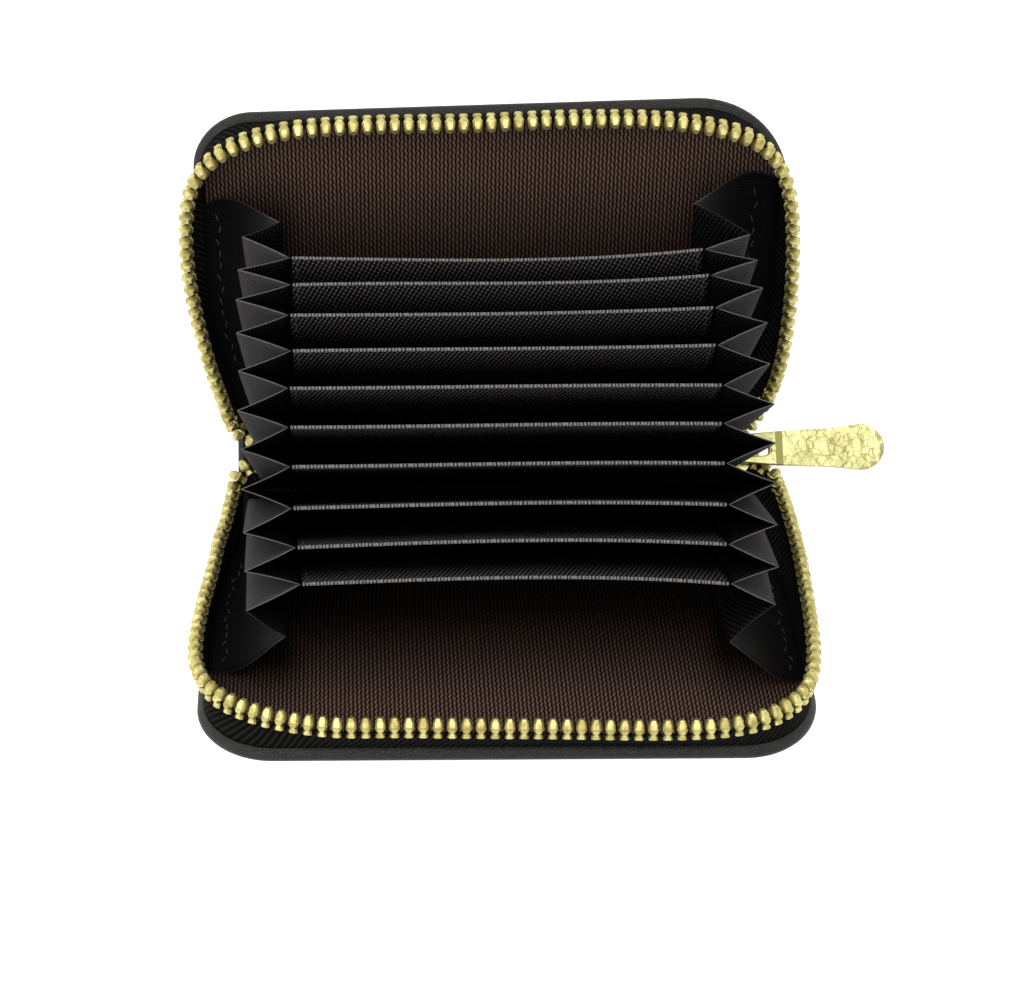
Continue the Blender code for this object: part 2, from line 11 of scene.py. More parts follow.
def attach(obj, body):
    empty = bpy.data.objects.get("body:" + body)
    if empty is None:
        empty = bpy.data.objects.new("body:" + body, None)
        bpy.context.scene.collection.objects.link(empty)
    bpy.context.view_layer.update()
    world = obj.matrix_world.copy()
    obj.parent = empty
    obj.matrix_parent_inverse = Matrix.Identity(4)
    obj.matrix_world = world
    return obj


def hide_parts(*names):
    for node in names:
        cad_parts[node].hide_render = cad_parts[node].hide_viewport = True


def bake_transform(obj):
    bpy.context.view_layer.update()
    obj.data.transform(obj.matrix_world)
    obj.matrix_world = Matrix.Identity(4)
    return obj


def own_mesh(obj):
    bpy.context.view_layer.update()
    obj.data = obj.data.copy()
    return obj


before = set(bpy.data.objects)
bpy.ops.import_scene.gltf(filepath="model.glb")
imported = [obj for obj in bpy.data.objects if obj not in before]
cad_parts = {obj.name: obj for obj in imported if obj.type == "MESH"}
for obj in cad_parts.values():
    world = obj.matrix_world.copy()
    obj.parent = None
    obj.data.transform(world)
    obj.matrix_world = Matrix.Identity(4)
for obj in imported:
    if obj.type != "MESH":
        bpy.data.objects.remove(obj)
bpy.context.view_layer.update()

# ---- Camera ----
# It looks down into the open mouth from a little in front of the wallet's middle, at the distance
# where the near mouth edges and the far spine keep the proportions of the picture.
CAMERA_PLACE = (-0.02584, -0.086342, 0.471222)
CAMERA_TURN = Vector((0.171376, -0.058901, -0.022577))  # the axis times the angle in radians
CAMERA_LENS = 86.45

camera_data = bpy.data.cameras.new("camera")
camera_data.sensor_width = 36.0
camera_data.lens = CAMERA_LENS
camera_data.clip_start = 0.01
camera = bpy.data.objects.new("camera", camera_data)
bpy.context.scene.collection.objects.link(camera)
camera.location = CAMERA_PLACE
camera.rotation_mode = "QUATERNION"
camera.rotation_quaternion = Quaternion(CAMERA_TURN.normalized(), CAMERA_TURN.length)
bpy.context.scene.camera = camera
bpy.context.scene.view_settings.view_transform = "Standard"


# ---- Leather wrap ----
# One smooth charcoal hide wraps both covers and the spine over thin boards. Its edge is turned over to
# the inside all round, and one line of stitching holds the zip tape under that edge.
COVERS = ((1, "back"), (-1, "front"))  # each cover's side of the spine, and its name
LEAN = np.radians(46.5)  # each cover's lean from upright
HINGE_OUT, HINGE_UP = 0.0096, 0.0018
COVER_HALF, COVER_HEIGHT = 0.055, 0.068
SKIN_OUT = 0.0005  # the leather's outer face, out from its middle
BEND_TANGENT = 0.0025  # the fold beside the spine takes this much of the flat on either side
CORNERS = {(1, 1): 0.0185, (1, -1): 0.0110, (-1, 1): 0.0145, (-1, -1): 0.0135}  # by cover and end
SPINE_NARROWED = 0.896  # the hide is cut narrower where the zip passes from cover to cover
NARROW_RUN, FULL_RUN = 0.010, 0.040  # it widens between these runs up the wrap
HEIGHT_GAIN = 0.0007  # the soft covers stand this much taller in the middle
HEIGHT_SLOPE = 0.026  # and rise by this much more to the right
EDGE_ROUND = 0.0011
BAND_WIDTH = 0.0014  # the turned edge, inside

fold_angle = np.pi / 2 - LEAN
fold_radius = BEND_TANGENT / np.tan(fold_angle / 2)
outer_out = HINGE_OUT + SKIN_OUT * np.cos(LEAN)
outer_up = HINGE_UP - SKIN_OUT * np.sin(LEAN)
corner_run = outer_up / np.cos(LEAN)  # from the flat's corner up to the hinge, along the cover
fold_start = outer_out - corner_run * np.sin(LEAN) - BEND_TANGENT
HINGE_RUN = fold_start + fold_radius * fold_angle - BEND_TANGENT + corner_run
TOP_RUN = HINGE_RUN + COVER_HEIGHT


def ease(value, low, high):
    """Nought below low, one above high, and a smooth step between them."""
    t = np.clip((value - low) / (high - low), 0, 1)
    return t * t * (3 - 2 * t)


def on_cover(side, along, up, inward):
    """A place on a cover: along the fold, up the cover from its hinge, and inward from the leather's middle."""
    along, up, inward = np.broadcast_arrays(along, up, inward)
    return np.stack(
        [
            along,
            side * (HINGE_OUT + up * np.sin(LEAN) - inward * np.cos(LEAN)),
            HINGE_UP + up * np.cos(LEAN) + inward * np.sin(LEAN),
        ],
        axis=-1,
    )


def cover_normal(side):
    """The direction inward, square to a cover."""
    return on_cover(side, 0, 0, 1.0) - on_cover(side, 0, 0, 0.0)


def on_wrap(side, along, run, depth):
    """A place in the wrap: run along the outer face from the spine's middle, round the fold's arc and up the
    straight cover, and depth inward from that face. The wrap narrows towards the spine and rises to the right."""
    along, run, depth = np.broadcast_arrays(along, run, depth)
    widened = ease(run, NARROW_RUN, FULL_RUN)
    raised = np.clip(run / TOP_RUN, 0, 1) ** 2
    run = run + raised * (HEIGHT_GAIN + HEIGHT_SLOPE * along)
    along = along * (SPINE_NARROWED + (1 - SPINE_NARROWED) * widened)
    turned = np.clip((run - fold_start) / fold_radius, 0, fold_angle)
    beyond = np.maximum(run - fold_start - fold_radius * fold_angle, 0)
    out = np.minimum(run, fold_start) + (fold_radius - depth) * np.sin(turned) + beyond * np.cos(turned)
    height = fold_radius - (fold_radius - depth) * np.cos(turned) + beyond * np.sin(turned)
    return np.stack([along, side * out, height], axis=-1)


def hoop(side, inset):
    """A hoop in a cover's flat wrap, inset from its outline: up the right side, round its corner, across the top
    and down the left side. It gives each point's place along and run, and the same for its inward direction."""
    side_steps, top_steps = 40, 60
    half, top = COVER_HALF - inset, TOP_RUN - inset
    right, left = CORNERS[side, 1] - inset, CORNERS[side, -1] - inset
    turn = np.linspace(0, np.pi / 2, 24, endpoint=False)
    along = [
        np.full(side_steps, half),
        half - right + right * np.cos(turn),
        np.linspace(half - right, left - half, top_steps, endpoint=False),
        left - half - left * np.sin(turn),
        np.full(side_steps, -half),
    ]
    run = [
        np.linspace(0, top - right, side_steps, endpoint=False),
        top - right + right * np.sin(turn),
        np.full(top_steps, top),
        top - left + left * np.cos(turn),
        np.linspace(top - left, 0, side_steps),
    ]
    angle = [np.zeros(side_steps), turn, np.full(top_steps, np.pi / 2), turn + np.pi / 2, np.full(side_steps, np.pi)]
    angle = np.concatenate(angle)
    return np.concatenate(along), np.concatenate(run), -np.cos(angle), -np.sin(angle)


def grid_faces(rows, columns, wrap=False, turned=False):
    """The quads of a grid of points, row by row. With wrap, each row closes on itself. Turned, they face the
    other way."""
    row, column = np.meshgrid(np.arange(rows - 1), np.arange(columns if wrap else columns - 1), indexing="ij")
    following = (column + 1) % columns
    corners = [row * columns + column, row * columns + following]
    corners += [(row + 1) * columns + following, (row + 1) * columns + column]
    faces = np.stack(corners, axis=-1).reshape(-1, 4)
    return faces[:, ::-1] if turned else faces


def tube_faces(rings, corners, turned=False):
    """The faces of a tube of rings, with one face across each of its two ends. Turned, they face the other way."""
    faces = [list(face) for face in grid_faces(rings, corners, wrap=True)]
    faces += [list(range(corners))[::-1], list(range((rings - 1) * corners, rings * corners))]
    return [face[::-1] for face in faces] if turned else faces


def make_piece(name, points, faces, material, flat=None, smooth=True):
    """A mesh piece from its points and faces. flat is the cloth's own pattern place of each point, in metres,
    which becomes the UV map."""
    mesh = bpy.data.meshes.new(name)
    mesh.from_pydata(np.asarray(points).reshape(-1, 3), [], [list(face) for face in faces])
    mesh.polygons.foreach_set("use_smooth", np.full(len(mesh.polygons), smooth))
    if flat is not None:
        corners = np.empty(len(mesh.loops), np.int32)
        mesh.loops.foreach_get("vertex_index", corners)
        layer = mesh.uv_layers.new(name="cloth")
        layer.data.foreach_set("uv", np.asarray(flat, float).reshape(-1, 2)[corners].ravel())
    mesh.materials.append(material)
    mesh.validate()
    piece = bpy.data.objects.new(name, mesh)
    bpy.context.scene.collection.objects.link(piece)
    return piece


def thicken(piece, thickness):
    """Gives a sheet its thickness, half to either side of it, and returns the modifier."""
    thick = piece.modifiers.new("thickness", "SOLIDIFY")
    thick.thickness, thick.offset = thickness, 0
    return thick


def plain_material(name, colour, roughness, metallic=0.0, specular=0.5):
    """A Principled material with its plain values on the shader's own sockets."""
    material = bpy.data.materials.new(name)
    material.use_nodes = True
    shader = material.node_tree.nodes["Principled BSDF"]
    shader.inputs["Base Color"].default_value = (*colour, 1)
    shader.inputs["Roughness"].default_value = roughness
    shader.inputs["Metallic"].default_value = metallic
    shader.inputs["Specular IOR Level"].default_value = specular
    return material, material.node_tree, shader


def place_node(tree, kind, values=None, **settings):
    """A shader node with its settings, and its inputs given as numbers or as the sockets that feed them."""
    made = tree.nodes.new("ShaderNode" + kind)
    for setting, value in settings.items():
        setattr(made, setting, value)
    for socket, value in (values or {}).items():
        if isinstance(value, bpy.types.NodeSocket):
            tree.links.new(value, made.inputs[socket])
        else:
            made.inputs[socket].default_value = value
    return made


def calculate(tree, operation, *values):
    """One sum on numbers or sockets. It gives the result's socket."""
    return place_node(tree, "Math", dict(enumerate(values)), operation=operation).outputs[0]


def remap(tree, value, low, high, start=0.0, end=1.0):
    """A value that goes from low to high while the given one goes from start to end, and stays there beyond."""
    values = {"Value": value, "From Min": start, "From Max": end, "To Min": low, "To Max": high}
    return place_node(tree, "MapRange", values).outputs[0]


def object_place(tree):
    """The place on the piece, in metres."""
    return place_node(tree, "TexCoord").outputs["Object"]


def noise(tree, place, scale, detail, output="Fac"):
    """A cloudy noise at place."""
    return place_node(tree, "TexNoise", {"Vector": place, "Scale": scale, "Detail": detail}).outputs[output]


def cells(tree, place, scale, feature):
    """The distance that a pattern of cells gives at place: from a cell's point, or from its edge."""
    return place_node(tree, "TexVoronoi", {"Vector": place, "Scale": scale}, feature=feature).outputs["Distance"]


def bump_from(tree, shader, height, distance):
    """Joins a height to the shader's normal through a Bump node. distance is in metres."""
    bump = place_node(tree, "Bump", {"Height": height, "Distance": distance, "Strength": 1.0})
    tree.links.new(bump.outputs["Normal"], shader.inputs["Normal"])


def mixed_colour(tree, share, low, high):
    """A colour between low and high by share. Each is a colour or a socket."""
    low, high = [value if isinstance(value, bpy.types.NodeSocket) else (*value, 1) for value in (low, high)]
    return place_node(tree, "Mix", {0: share, 6: low, 7: high}, data_type="RGBA").outputs[2]


def unit(vectors):
    """Each vector at length one."""
    return vectors / np.maximum(np.linalg.norm(vectors, axis=-1, keepdims=True), 1e-12)


def lengths_along(line):
    """The length along a line of places, from its start."""
    return np.concatenate([[0], np.cumsum(np.linalg.norm(np.diff(line, axis=0), axis=1))])


def along_line(line, at, values=None):
    """The places at the given lengths along a line, or there the values that go with its places."""
    lengths = lengths_along(line)
    return np.stack([np.interp(at, lengths, column) for column in (line if values is None else values).T], axis=-1)


def heading(line, at, span):
    """A line's direction at the given lengths along it, taken over span to either side."""
    return unit(along_line(line, at + span) - along_line(line, at - span))


def row_of(name, shape, faces, middles, tangents, heads, material):
    """One mesh of a shape repeated: its three coordinates are laid off at each middle along the row's tangent,
    along the head direction, and along the cross of the two."""
    across = unit(np.cross(tangents, heads))
    along = np.cross(heads, across)
    points = (
        middles[:, None]
        + shape[:, 0, None] * along[:, None]
        + shape[:, 1, None] * heads[:, None]
        + shape[:, 2, None] * across[:, None]
    )
    repeated = [[corner + len(shape) * copy for corner in face] for copy in range(len(middles)) for face in faces]
    return make_piece(name, points, repeated, material)


def stations(places, half_widths, half_depths, cut=0.6):
    """A closed shape of eight-cornered rings: each ring stands across its place, as wide and as deep as given,
    with its corners cut at the share cut."""
    ring = np.array([(1, cut), (cut, 1), (-cut, 1), (-1, cut), (-1, -cut), (-cut, -1), (cut, -1), (1, -cut)])
    widths, depths = np.array(half_widths)[:, None] * ring[:, 0], np.array(half_depths)[:, None] * ring[:, 1]
    points = np.stack([widths, np.broadcast_to(np.array(places)[:, None], widths.shape), depths], axis=-1)
    return points.reshape(-1, 3), tube_faces(len(places), 8, turned=True)


def stitch_shape(length, radius):
    """One stitch of sewing thread, lying along the row and rounded at both ends."""
    girth = np.array([0.4, 0.9, 1, 0.9, 0.4]) * radius
    points, faces = stations(np.array([-1, -0.82, 0, 0.82, 1]) * length / 2, girth, girth)
    return points[:, [1, 0, 2]], [face[::-1] for face in faces]


leather, tree, shader = plain_material("charcoal_leather", (0.016, 0.0165, 0.0145), 0.46, specular=0.26)
place = object_place(tree)
mottle = noise(tree, place, 700.0, 4.0)
creases = calculate(tree, "MINIMUM", cells(tree, place, 1900.0, "DISTANCE_TO_EDGE"), 0.12)
grain = calculate(tree, "MULTIPLY_ADD", creases, 4.0, calculate(tree, "MULTIPLY", mottle, 0.5))
bump_from(tree, shader, grain, 0.00014)
shade = mixed_colour(tree, mottle, (0.0050, 0.0054, 0.0042), (0.029, 0.0297, 0.0257))
tree.links.new(shade, shader.inputs["Base Color"])
tree.links.new(remap(tree, mottle, 0.36, 0.52), shader.inputs["Roughness"])

SEAM_INSET, SEAM_DEPTH, SEAM_START = 0.0031, 0.00024, 0.0016
STITCH_PITCH, STITCH_LENGTH, STITCH_RADIUS = 0.0031, 0.0023, 0.00022
black_thread, tree, shader = plain_material("black_thread", (0.022, 0.022, 0.021), 0.6)
strands = noise(tree, object_place(tree), 3000.0, 2.0)
tree.links.new(mixed_colour(tree, strands, (0.010, 0.010, 0.010), (0.050, 0.050, 0.047)), shader.inputs["Base Color"])
bump_from(tree, shader, strands, 0.00006)

# The hide cut across near its edge, (inward, deep): its face with the seam's groove, its rounded edge and the
# band turned inside.
edge_turn = np.linspace(0, np.pi, 9)[1:-1]
skin_profile = np.array(
    [(0.0070, 0), (0.0050, 0), (0.0039, 0), (0.0034, 0.00008), (0.0031, 0.00014), (0.0028, 0.00008), (0.0023, 0)]
    + [(EDGE_ROUND * (1 - np.sin(turn)), EDGE_ROUND * (1 - np.cos(turn))) for turn in edge_turn]
    + [(0.0011, 0.0026), (BAND_WIDTH, 0.00252), (0.00155, 0.0023), (0.0016, 0.0014)]
)
CORE_SHARES = np.array([0.0, 0.12, 0.28, 0.46, 0.64, 0.82])  # rows between the hide's middle and its edge
CORE_TOP = 0.028  # the middle row ends this far below the top
for side, cover in COVERS:
    hoop_along, hoop_run, in_along, in_run = hoop(side, 0)
    skin_along = hoop_along[:, None] + in_along[:, None] * skin_profile[:, 0]
    skin_run = hoop_run[:, None] + in_run[:, None] * skin_profile[:, 0]
    core_run = np.minimum(hoop_run, TOP_RUN - CORE_TOP)[:, None]
    skin_run = np.hstack([core_run + (skin_run[:, :1] - core_run) * CORE_SHARES, skin_run])
    skin_along = np.hstack([skin_along[:, :1] * CORE_SHARES, skin_along])
    skin_depth = np.concatenate([np.zeros(len(CORE_SHARES)), skin_profile[:, 1]])
    points = on_wrap(side, skin_along, skin_run, skin_depth)
    skin = make_piece(f"leather_{cover}", points, grid_faces(*skin_along.shape, turned=side > 0), leather)
    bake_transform(skin)
    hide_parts(f"{cover}_cover_leather", *(["spine_leather"] if side > 0 else []))

    seam_along, seam_run, _, _ = hoop(side, SEAM_INSET)
    seam = on_wrap(side, seam_along, seam_run, SEAM_DEPTH)
    outward = unit(seam - on_wrap(side, seam_along, seam_run, 0.001))
    at = np.arange(SEAM_START, lengths_along(seam)[-1], STITCH_PITCH)
    row = along_line(seam, at), heading(seam, at, 0.0008), unit(along_line(seam, at, outward))
    stitches = row_of(f"stitches_{cover}", *stitch_shape(STITCH_LENGTH, STITCH_RADIUS), *row, black_thread)
    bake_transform(stitches)


# ---- Boards ----
# Grey board stiffens each cover and the spine. It is cut to the hide's outline and sealed between the
# leather and the lining, short of the stitched edge.
BOARD_DEPTH, BOARD_THICK, BOARD_INSET = 0.00165, 0.0007, 0.0036
SPINE_BOARD = (0.0452, 0.0052)  # half its length and half its width


def flat_cut(side, rows, inset):
    """A grid in a cover's flat wrap at the given runs, reaching on each row to the cover's rounded outline less
    inset. It gives the places along and their runs."""
    reaches = []
    for end in (-1, 1):
        corner = CORNERS[side, end] - inset
        above = np.clip(rows - (TOP_RUN - inset - corner), 0, corner)
        reaches.append(end * (COVER_HALF - inset - corner + np.sqrt(corner**2 - above**2)))
    shares = np.linspace(0, 1, 81)
    along = reaches[0][:, None] * (1 - shares) + reaches[1][:, None] * shares
    return along, np.broadcast_to(rows[:, None], along.shape)


board_grey, tree, shader = plain_material("grey_board", (0.20, 0.19, 0.17), 0.9)
low_rows = np.linspace(HINGE_RUN + 0.0030, TOP_RUN - 0.020, 12)
board_rows = np.concatenate([low_rows, np.linspace(TOP_RUN - 0.018, TOP_RUN - BOARD_INSET, 16)])
cuts = [
    (f"{cover}_cover", f"{cover}_cover_board", side, *flat_cut(side, board_rows, BOARD_INSET)) for side, cover in COVERS
]
spine_grid = np.meshgrid(np.linspace(-1, 1, 21) * SPINE_BOARD[0], np.linspace(-1, 1, 5) * SPINE_BOARD[1])
cuts.append(("spine", "spine_board", 1, spine_grid[0] / SPINE_NARROWED, spine_grid[1]))
for body, node, side, along, run in cuts:
    faces = grid_faces(*along.shape, turned=side < 0)
    board = make_piece(f"{body}_stiffening", on_wrap(side, along, run, BOARD_DEPTH), faces, board_grey)
    thicken(board, BOARD_THICK)
    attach(board, body)
    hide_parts(node)


# ---- Lining ----
# A burgundy-brown ribbed cloth is laid over the boards, from under one cover's zip tape through the
# spine to the other's. Its ribs run from the spine up to the mouth.
LINING_DEPTH, LINING_INSET = 0.0026, 0.0021


def node_group(name, inputs, output):
    """A shader node group with the named inputs and one number out. It gives the group, the sockets of its
    inputs and the socket for its result."""
    group = bpy.data.node_groups.new(name, "ShaderNodeTree")
    for socket, kind in inputs.items():
        group.interface.new_socket(name=socket, in_out="INPUT", socket_type="NodeSocket" + kind)
    group.interface.new_socket(name=output, in_out="OUTPUT", socket_type="NodeSocketFloat")
    return group, group.nodes.new("NodeGroupInput").outputs, group.nodes.new("NodeGroupOutput").inputs[output]


weave_inputs = {"Flat": "Vector", **dict.fromkeys(("Across", "Slope", "Along", "Wave", "Dots"), "Float")}
ribbed_weave, given, result = node_group("ribbed_weave", weave_inputs, "Height")
parts = place_node(ribbed_weave, "SeparateXYZ", {0: given["Flat"]}).outputs
slanted = calculate(ribbed_weave, "MULTIPLY_ADD", parts["Y"], given["Slope"], parts["X"])
column = calculate(ribbed_weave, "MULTIPLY", calculate(ribbed_weave, "DIVIDE", slanted, given["Across"]), 2 * np.pi)
thread = calculate(ribbed_weave, "MULTIPLY", calculate(ribbed_weave, "DIVIDE", parts["Y"], given["Along"]), 2 * np.pi)
wander = calculate(ribbed_weave, "MULTIPLY", noise(ribbed_weave, given["Flat"], 500.0, 2.0), 2.2)
swing = calculate(ribbed_weave, "MULTIPLY_ADD", calculate(ribbed_weave, "SINE", thread), given["Wave"], wander)
rib = calculate(ribbed_weave, "COSINE", calculate(ribbed_weave, "ADD", column, swing))
rib = calculate(ribbed_weave, "POWER", calculate(ribbed_weave, "MULTIPLY_ADD", rib, 0.5, 0.5), 1.7)
staggered = calculate(ribbed_weave, "MULTIPLY_ADD", column, 0.5, thread)
gap = calculate(ribbed_weave, "MULTIPLY_ADD", calculate(ribbed_weave, "COSINE", staggered), -0.5, 0.5)
dash = calculate(ribbed_weave, "SUBTRACT", 1.0, calculate(ribbed_weave, "MULTIPLY", gap, given["Dots"]))
ribbed_weave.links.new(calculate(ribbed_weave, "MULTIPLY", rib, dash), result)


def ribbed(tree, flat, across, slope, along, wave, dots):
    """The height, nought to one, of a weave whose ribs repeat by across, lean by slope, carry threads that repeat
    by along, swing by wave, and sink between the threads by dots. It is the shared weave group with these values."""
    values = {"Flat": flat, "Across": across, "Slope": slope, "Along": along, "Wave": wave, "Dots": dots}
    return place_node(tree, "Group", values, node_tree=ribbed_weave).outputs["Height"]


def cloth_place(tree):
    """The place on a cloth's own flat pattern, in metres."""
    return place_node(tree, "UVMap", uv_map="cloth").outputs[0]


lining_cloth, tree, shader = plain_material("lining_cloth", (0.030, 0.015, 0.011), 0.78, specular=0.06)
flat = cloth_place(tree)
weave = ribbed(tree, flat, 0.00073, 0.0, 0.00130, 0.6, 0.62)
bump_from(tree, shader, weave, 0.00016)
shade = mixed_colour(tree, weave, (0.0125, 0.0042, 0.0018), (0.250, 0.165, 0.130))
# Painted shade: the cloth's colour is darkened low down towards the spine, and a painted shadow of the gussets darkens
# it beside them.
parts = place_node(tree, "SeparateXYZ", {0: flat}).outputs
beside = remap(tree, calculate(tree, "ABSOLUTE", parts["X"]), 0.0, 1.0, 0.031, 0.040)
beside = calculate(tree, "MULTIPLY", beside, remap(tree, parts["Y"], 0.92, 0.0, 0.054, 0.070))
painted_depth_shade = calculate(tree, "MAXIMUM", remap(tree, parts["Y"], 0.88, 0.0, 0.040, 0.066), beside)
tree.links.new(mixed_colour(tree, painted_depth_shade, shade, (0.0010, 0.0005, 0.0003)), shader.inputs["Base Color"])

rows = np.concatenate([np.linspace(0, 0.016, 18, endpoint=False), np.linspace(0.016, TOP_RUN - LINING_INSET, 60)])
for side, cover in COVERS:
    cloth_along, cloth_run = flat_cut(side, rows, LINING_INSET)
    points = on_wrap(side, cloth_along, cloth_run, LINING_DEPTH)
    faces = grid_faces(*cloth_along.shape, turned=side < 0)
    flat_place = np.stack([cloth_along, cloth_run], axis=-1)
    lining = make_piece(f"lining_{cover}", points, faces, lining_cloth, flat_place)
    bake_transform(lining)
    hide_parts(f"{cover}_cover_lining", *(["spine_lining"] if side > 0 else []))
    widths = cloth_along[:, -1] - cloth_along[:, 0]


# ---- Zip tape ----
# Black twill tape, one long strip a side. It is sewn under the leather's turned edge, stands up from it
# with the teeth on its free edge, and its soft ends sweep down past the covers to the spine.
TOOTH_DEPTH = 0.0069  # inward from the leather's middle to the line of the teeth's middles
ZIP_BACK = [(55.8, 19), (56.3, 30), (55.9, 41), (54.9, 50), (53.2, 56.4), (50.2, 61.2), (45.6, 64.7), (38.6, 66.8)]
ZIP_BACK += [(28, 68.2), (12, 68.4), (-4, 67.8), (-20, 67.7), (-32, 67.2), (-40.6, 66.0), (-47.8, 63.4)]
ZIP_BACK += [(-52.3, 59.8), (-55.2, 55.4), (-56.5, 48.4), (-56.6, 39), (-55.6, 29.6), (-53.9, 19.9)]
ZIP_FRONT = [(56.9, 19), (56.5, 30), (55.9, 41), (55.1, 49), (53.6, 56.3), (50.8, 61.5), (46.5, 65.5), (40.5, 68.2)]
ZIP_FRONT += [(33, 69.2), (22, 69.1), (8, 68.3), (-6, 67.7), (-20, 67.0), (-30, 66.7), (-38, 65.1)]
ZIP_FRONT += [(-44.5, 62.6), (-50.0, 58.9), (-53.3, 54.6), (-55.2, 48.6), (-55.3, 41), (-54.5, 32), (-53.2, 23)]
COURSES = {1: ZIP_BACK, -1: ZIP_FRONT}  # each cover's course of teeth, (along, up) in millimetres
# Its course at the spine's two ends, by cover, (along, back, up) in millimetres.
RIGHT_MOUTH = {
    1: [(40, 3.5, 5.2), (46.5, 3.9, 5.2), (49.2, 5.4, 5.3), (51.0, 7.9, 7.5), (52.9, 10.6, 10.0), (54.6, 13.2, 13.2)],
    -1: [(40, 1.2, 5.2), (46.5, 0.9, 5.2), (50.9, 1.0, 5.2), (53.4, 0.3, 5.3), (55.3, -2.2, 5.9), (56.4, -8.0, 10.6)],
}
LEFT_MOUTH = {
    1: [(-51.5, 12.4, 12.0), (-50.7, 10.1, 8.6), (-49.5, 8.2, 6.0), (-48.0, 7.2, 5.3), (-45.5, 6.6, 5.2)],
    -1: [(-52.2, -14.7, 16.6), (-51.3, -11.4, 13.4), (-50.8, -8.0, 10.2), (-50.2, -4.5, 6.9), (-49.7, -1.2, 5.3)],
}
LEFT_MOUTH[1] += [(-39.5, 6.0, 5.2)]
LEFT_MOUTH[-1] += [(-48.8, 0.6, 5.2), (-47.4, 1.6, 5.2), (-45.6, 2.1, 5.2), (-43.6, 1.8, 5.2), (-39.5, 1.8, 5.2)]
HEAD_LEAN = np.radians(22)  # across the top, the heads lean in over the lining
TAPE_THICK = 0.0005
EDGE_DEPTH = 0.0025  # the tape comes out from under the turned edge at this depth
ZIP_BEND = (0.0, 0.015)  # up a cover, the zip goes over from the spine to the cover between these


def through(places, steps):
    """A smooth curve through the places: each stretch is a cubic whose slopes are those between its neighbours."""
    places = np.asarray(places, float)
    slopes = np.gradient(places, axis=0)
    at = np.linspace(0, len(places) - 1, steps)
    first = np.minimum(at.astype(int), len(places) - 2)
    t = (at - first)[:, None]
    a, b, u, v = places[first], places[first + 1], slopes[first], slopes[first + 1]
    return (2 * t**3 - 3 * t**2 + 1) * a + (t**3 - 2 * t**2 + t) * u + (3 * t**2 - 2 * t**3) * b + (t**3 - t**2) * v


def curve_between(start, first_pull, second_pull, end, t):
    """The Bezier curve from each start to its end, at the shares t of the way:
    (1 - t)^3 start + 3 (1 - t)^2 t first_pull + 3 (1 - t) t^2 second_pull + t^3 end."""
    start, first_pull, second_pull, end = [places[:, None] for places in (start, first_pull, second_pull, end)]
    t = t[:, None]
    return (1 - t) ** 3 * start + 3 * (1 - t) ** 2 * t * first_pull + 3 * (1 - t) * t**2 * second_pull + t**3 * end


def smoothed(line, passes):
    """The line with each inner place moved to the mean of itself and its neighbours, several times."""
    line = line.copy()
    for _ in range(passes):
        line[1:-1] = 0.5 * line[1:-1] + 0.25 * (line[:-2] + line[2:])
    return line


def square_to(vectors, lines):
    """Each vector made square to its line, at length one."""
    return unit(vectors - lines * np.sum(vectors * lines, axis=1, keepdims=True))


def zip_ends(side):
    """The two places between which a cover's half of the zip goes over from the spine to the cover."""
    return [tuple(on_cover(side, 0, up, TOOTH_DEPTH)) for up in ZIP_BEND]


tape_cloth, tree, shader = plain_material("tape_cloth", (0.012, 0.012, 0.011), 0.85, specular=0.06)
twill = ribbed(tree, cloth_place(tree), 0.00125, 0.75, 0.00045, 0.0, 0.5)
bump_from(tree, shader, twill, 0.00018)
shade = mixed_colour(tree, twill, (0.0008, 0.0008, 0.0008), (0.020, 0.020, 0.0185))
tree.links.new(shade, shader.inputs["Base Color"])

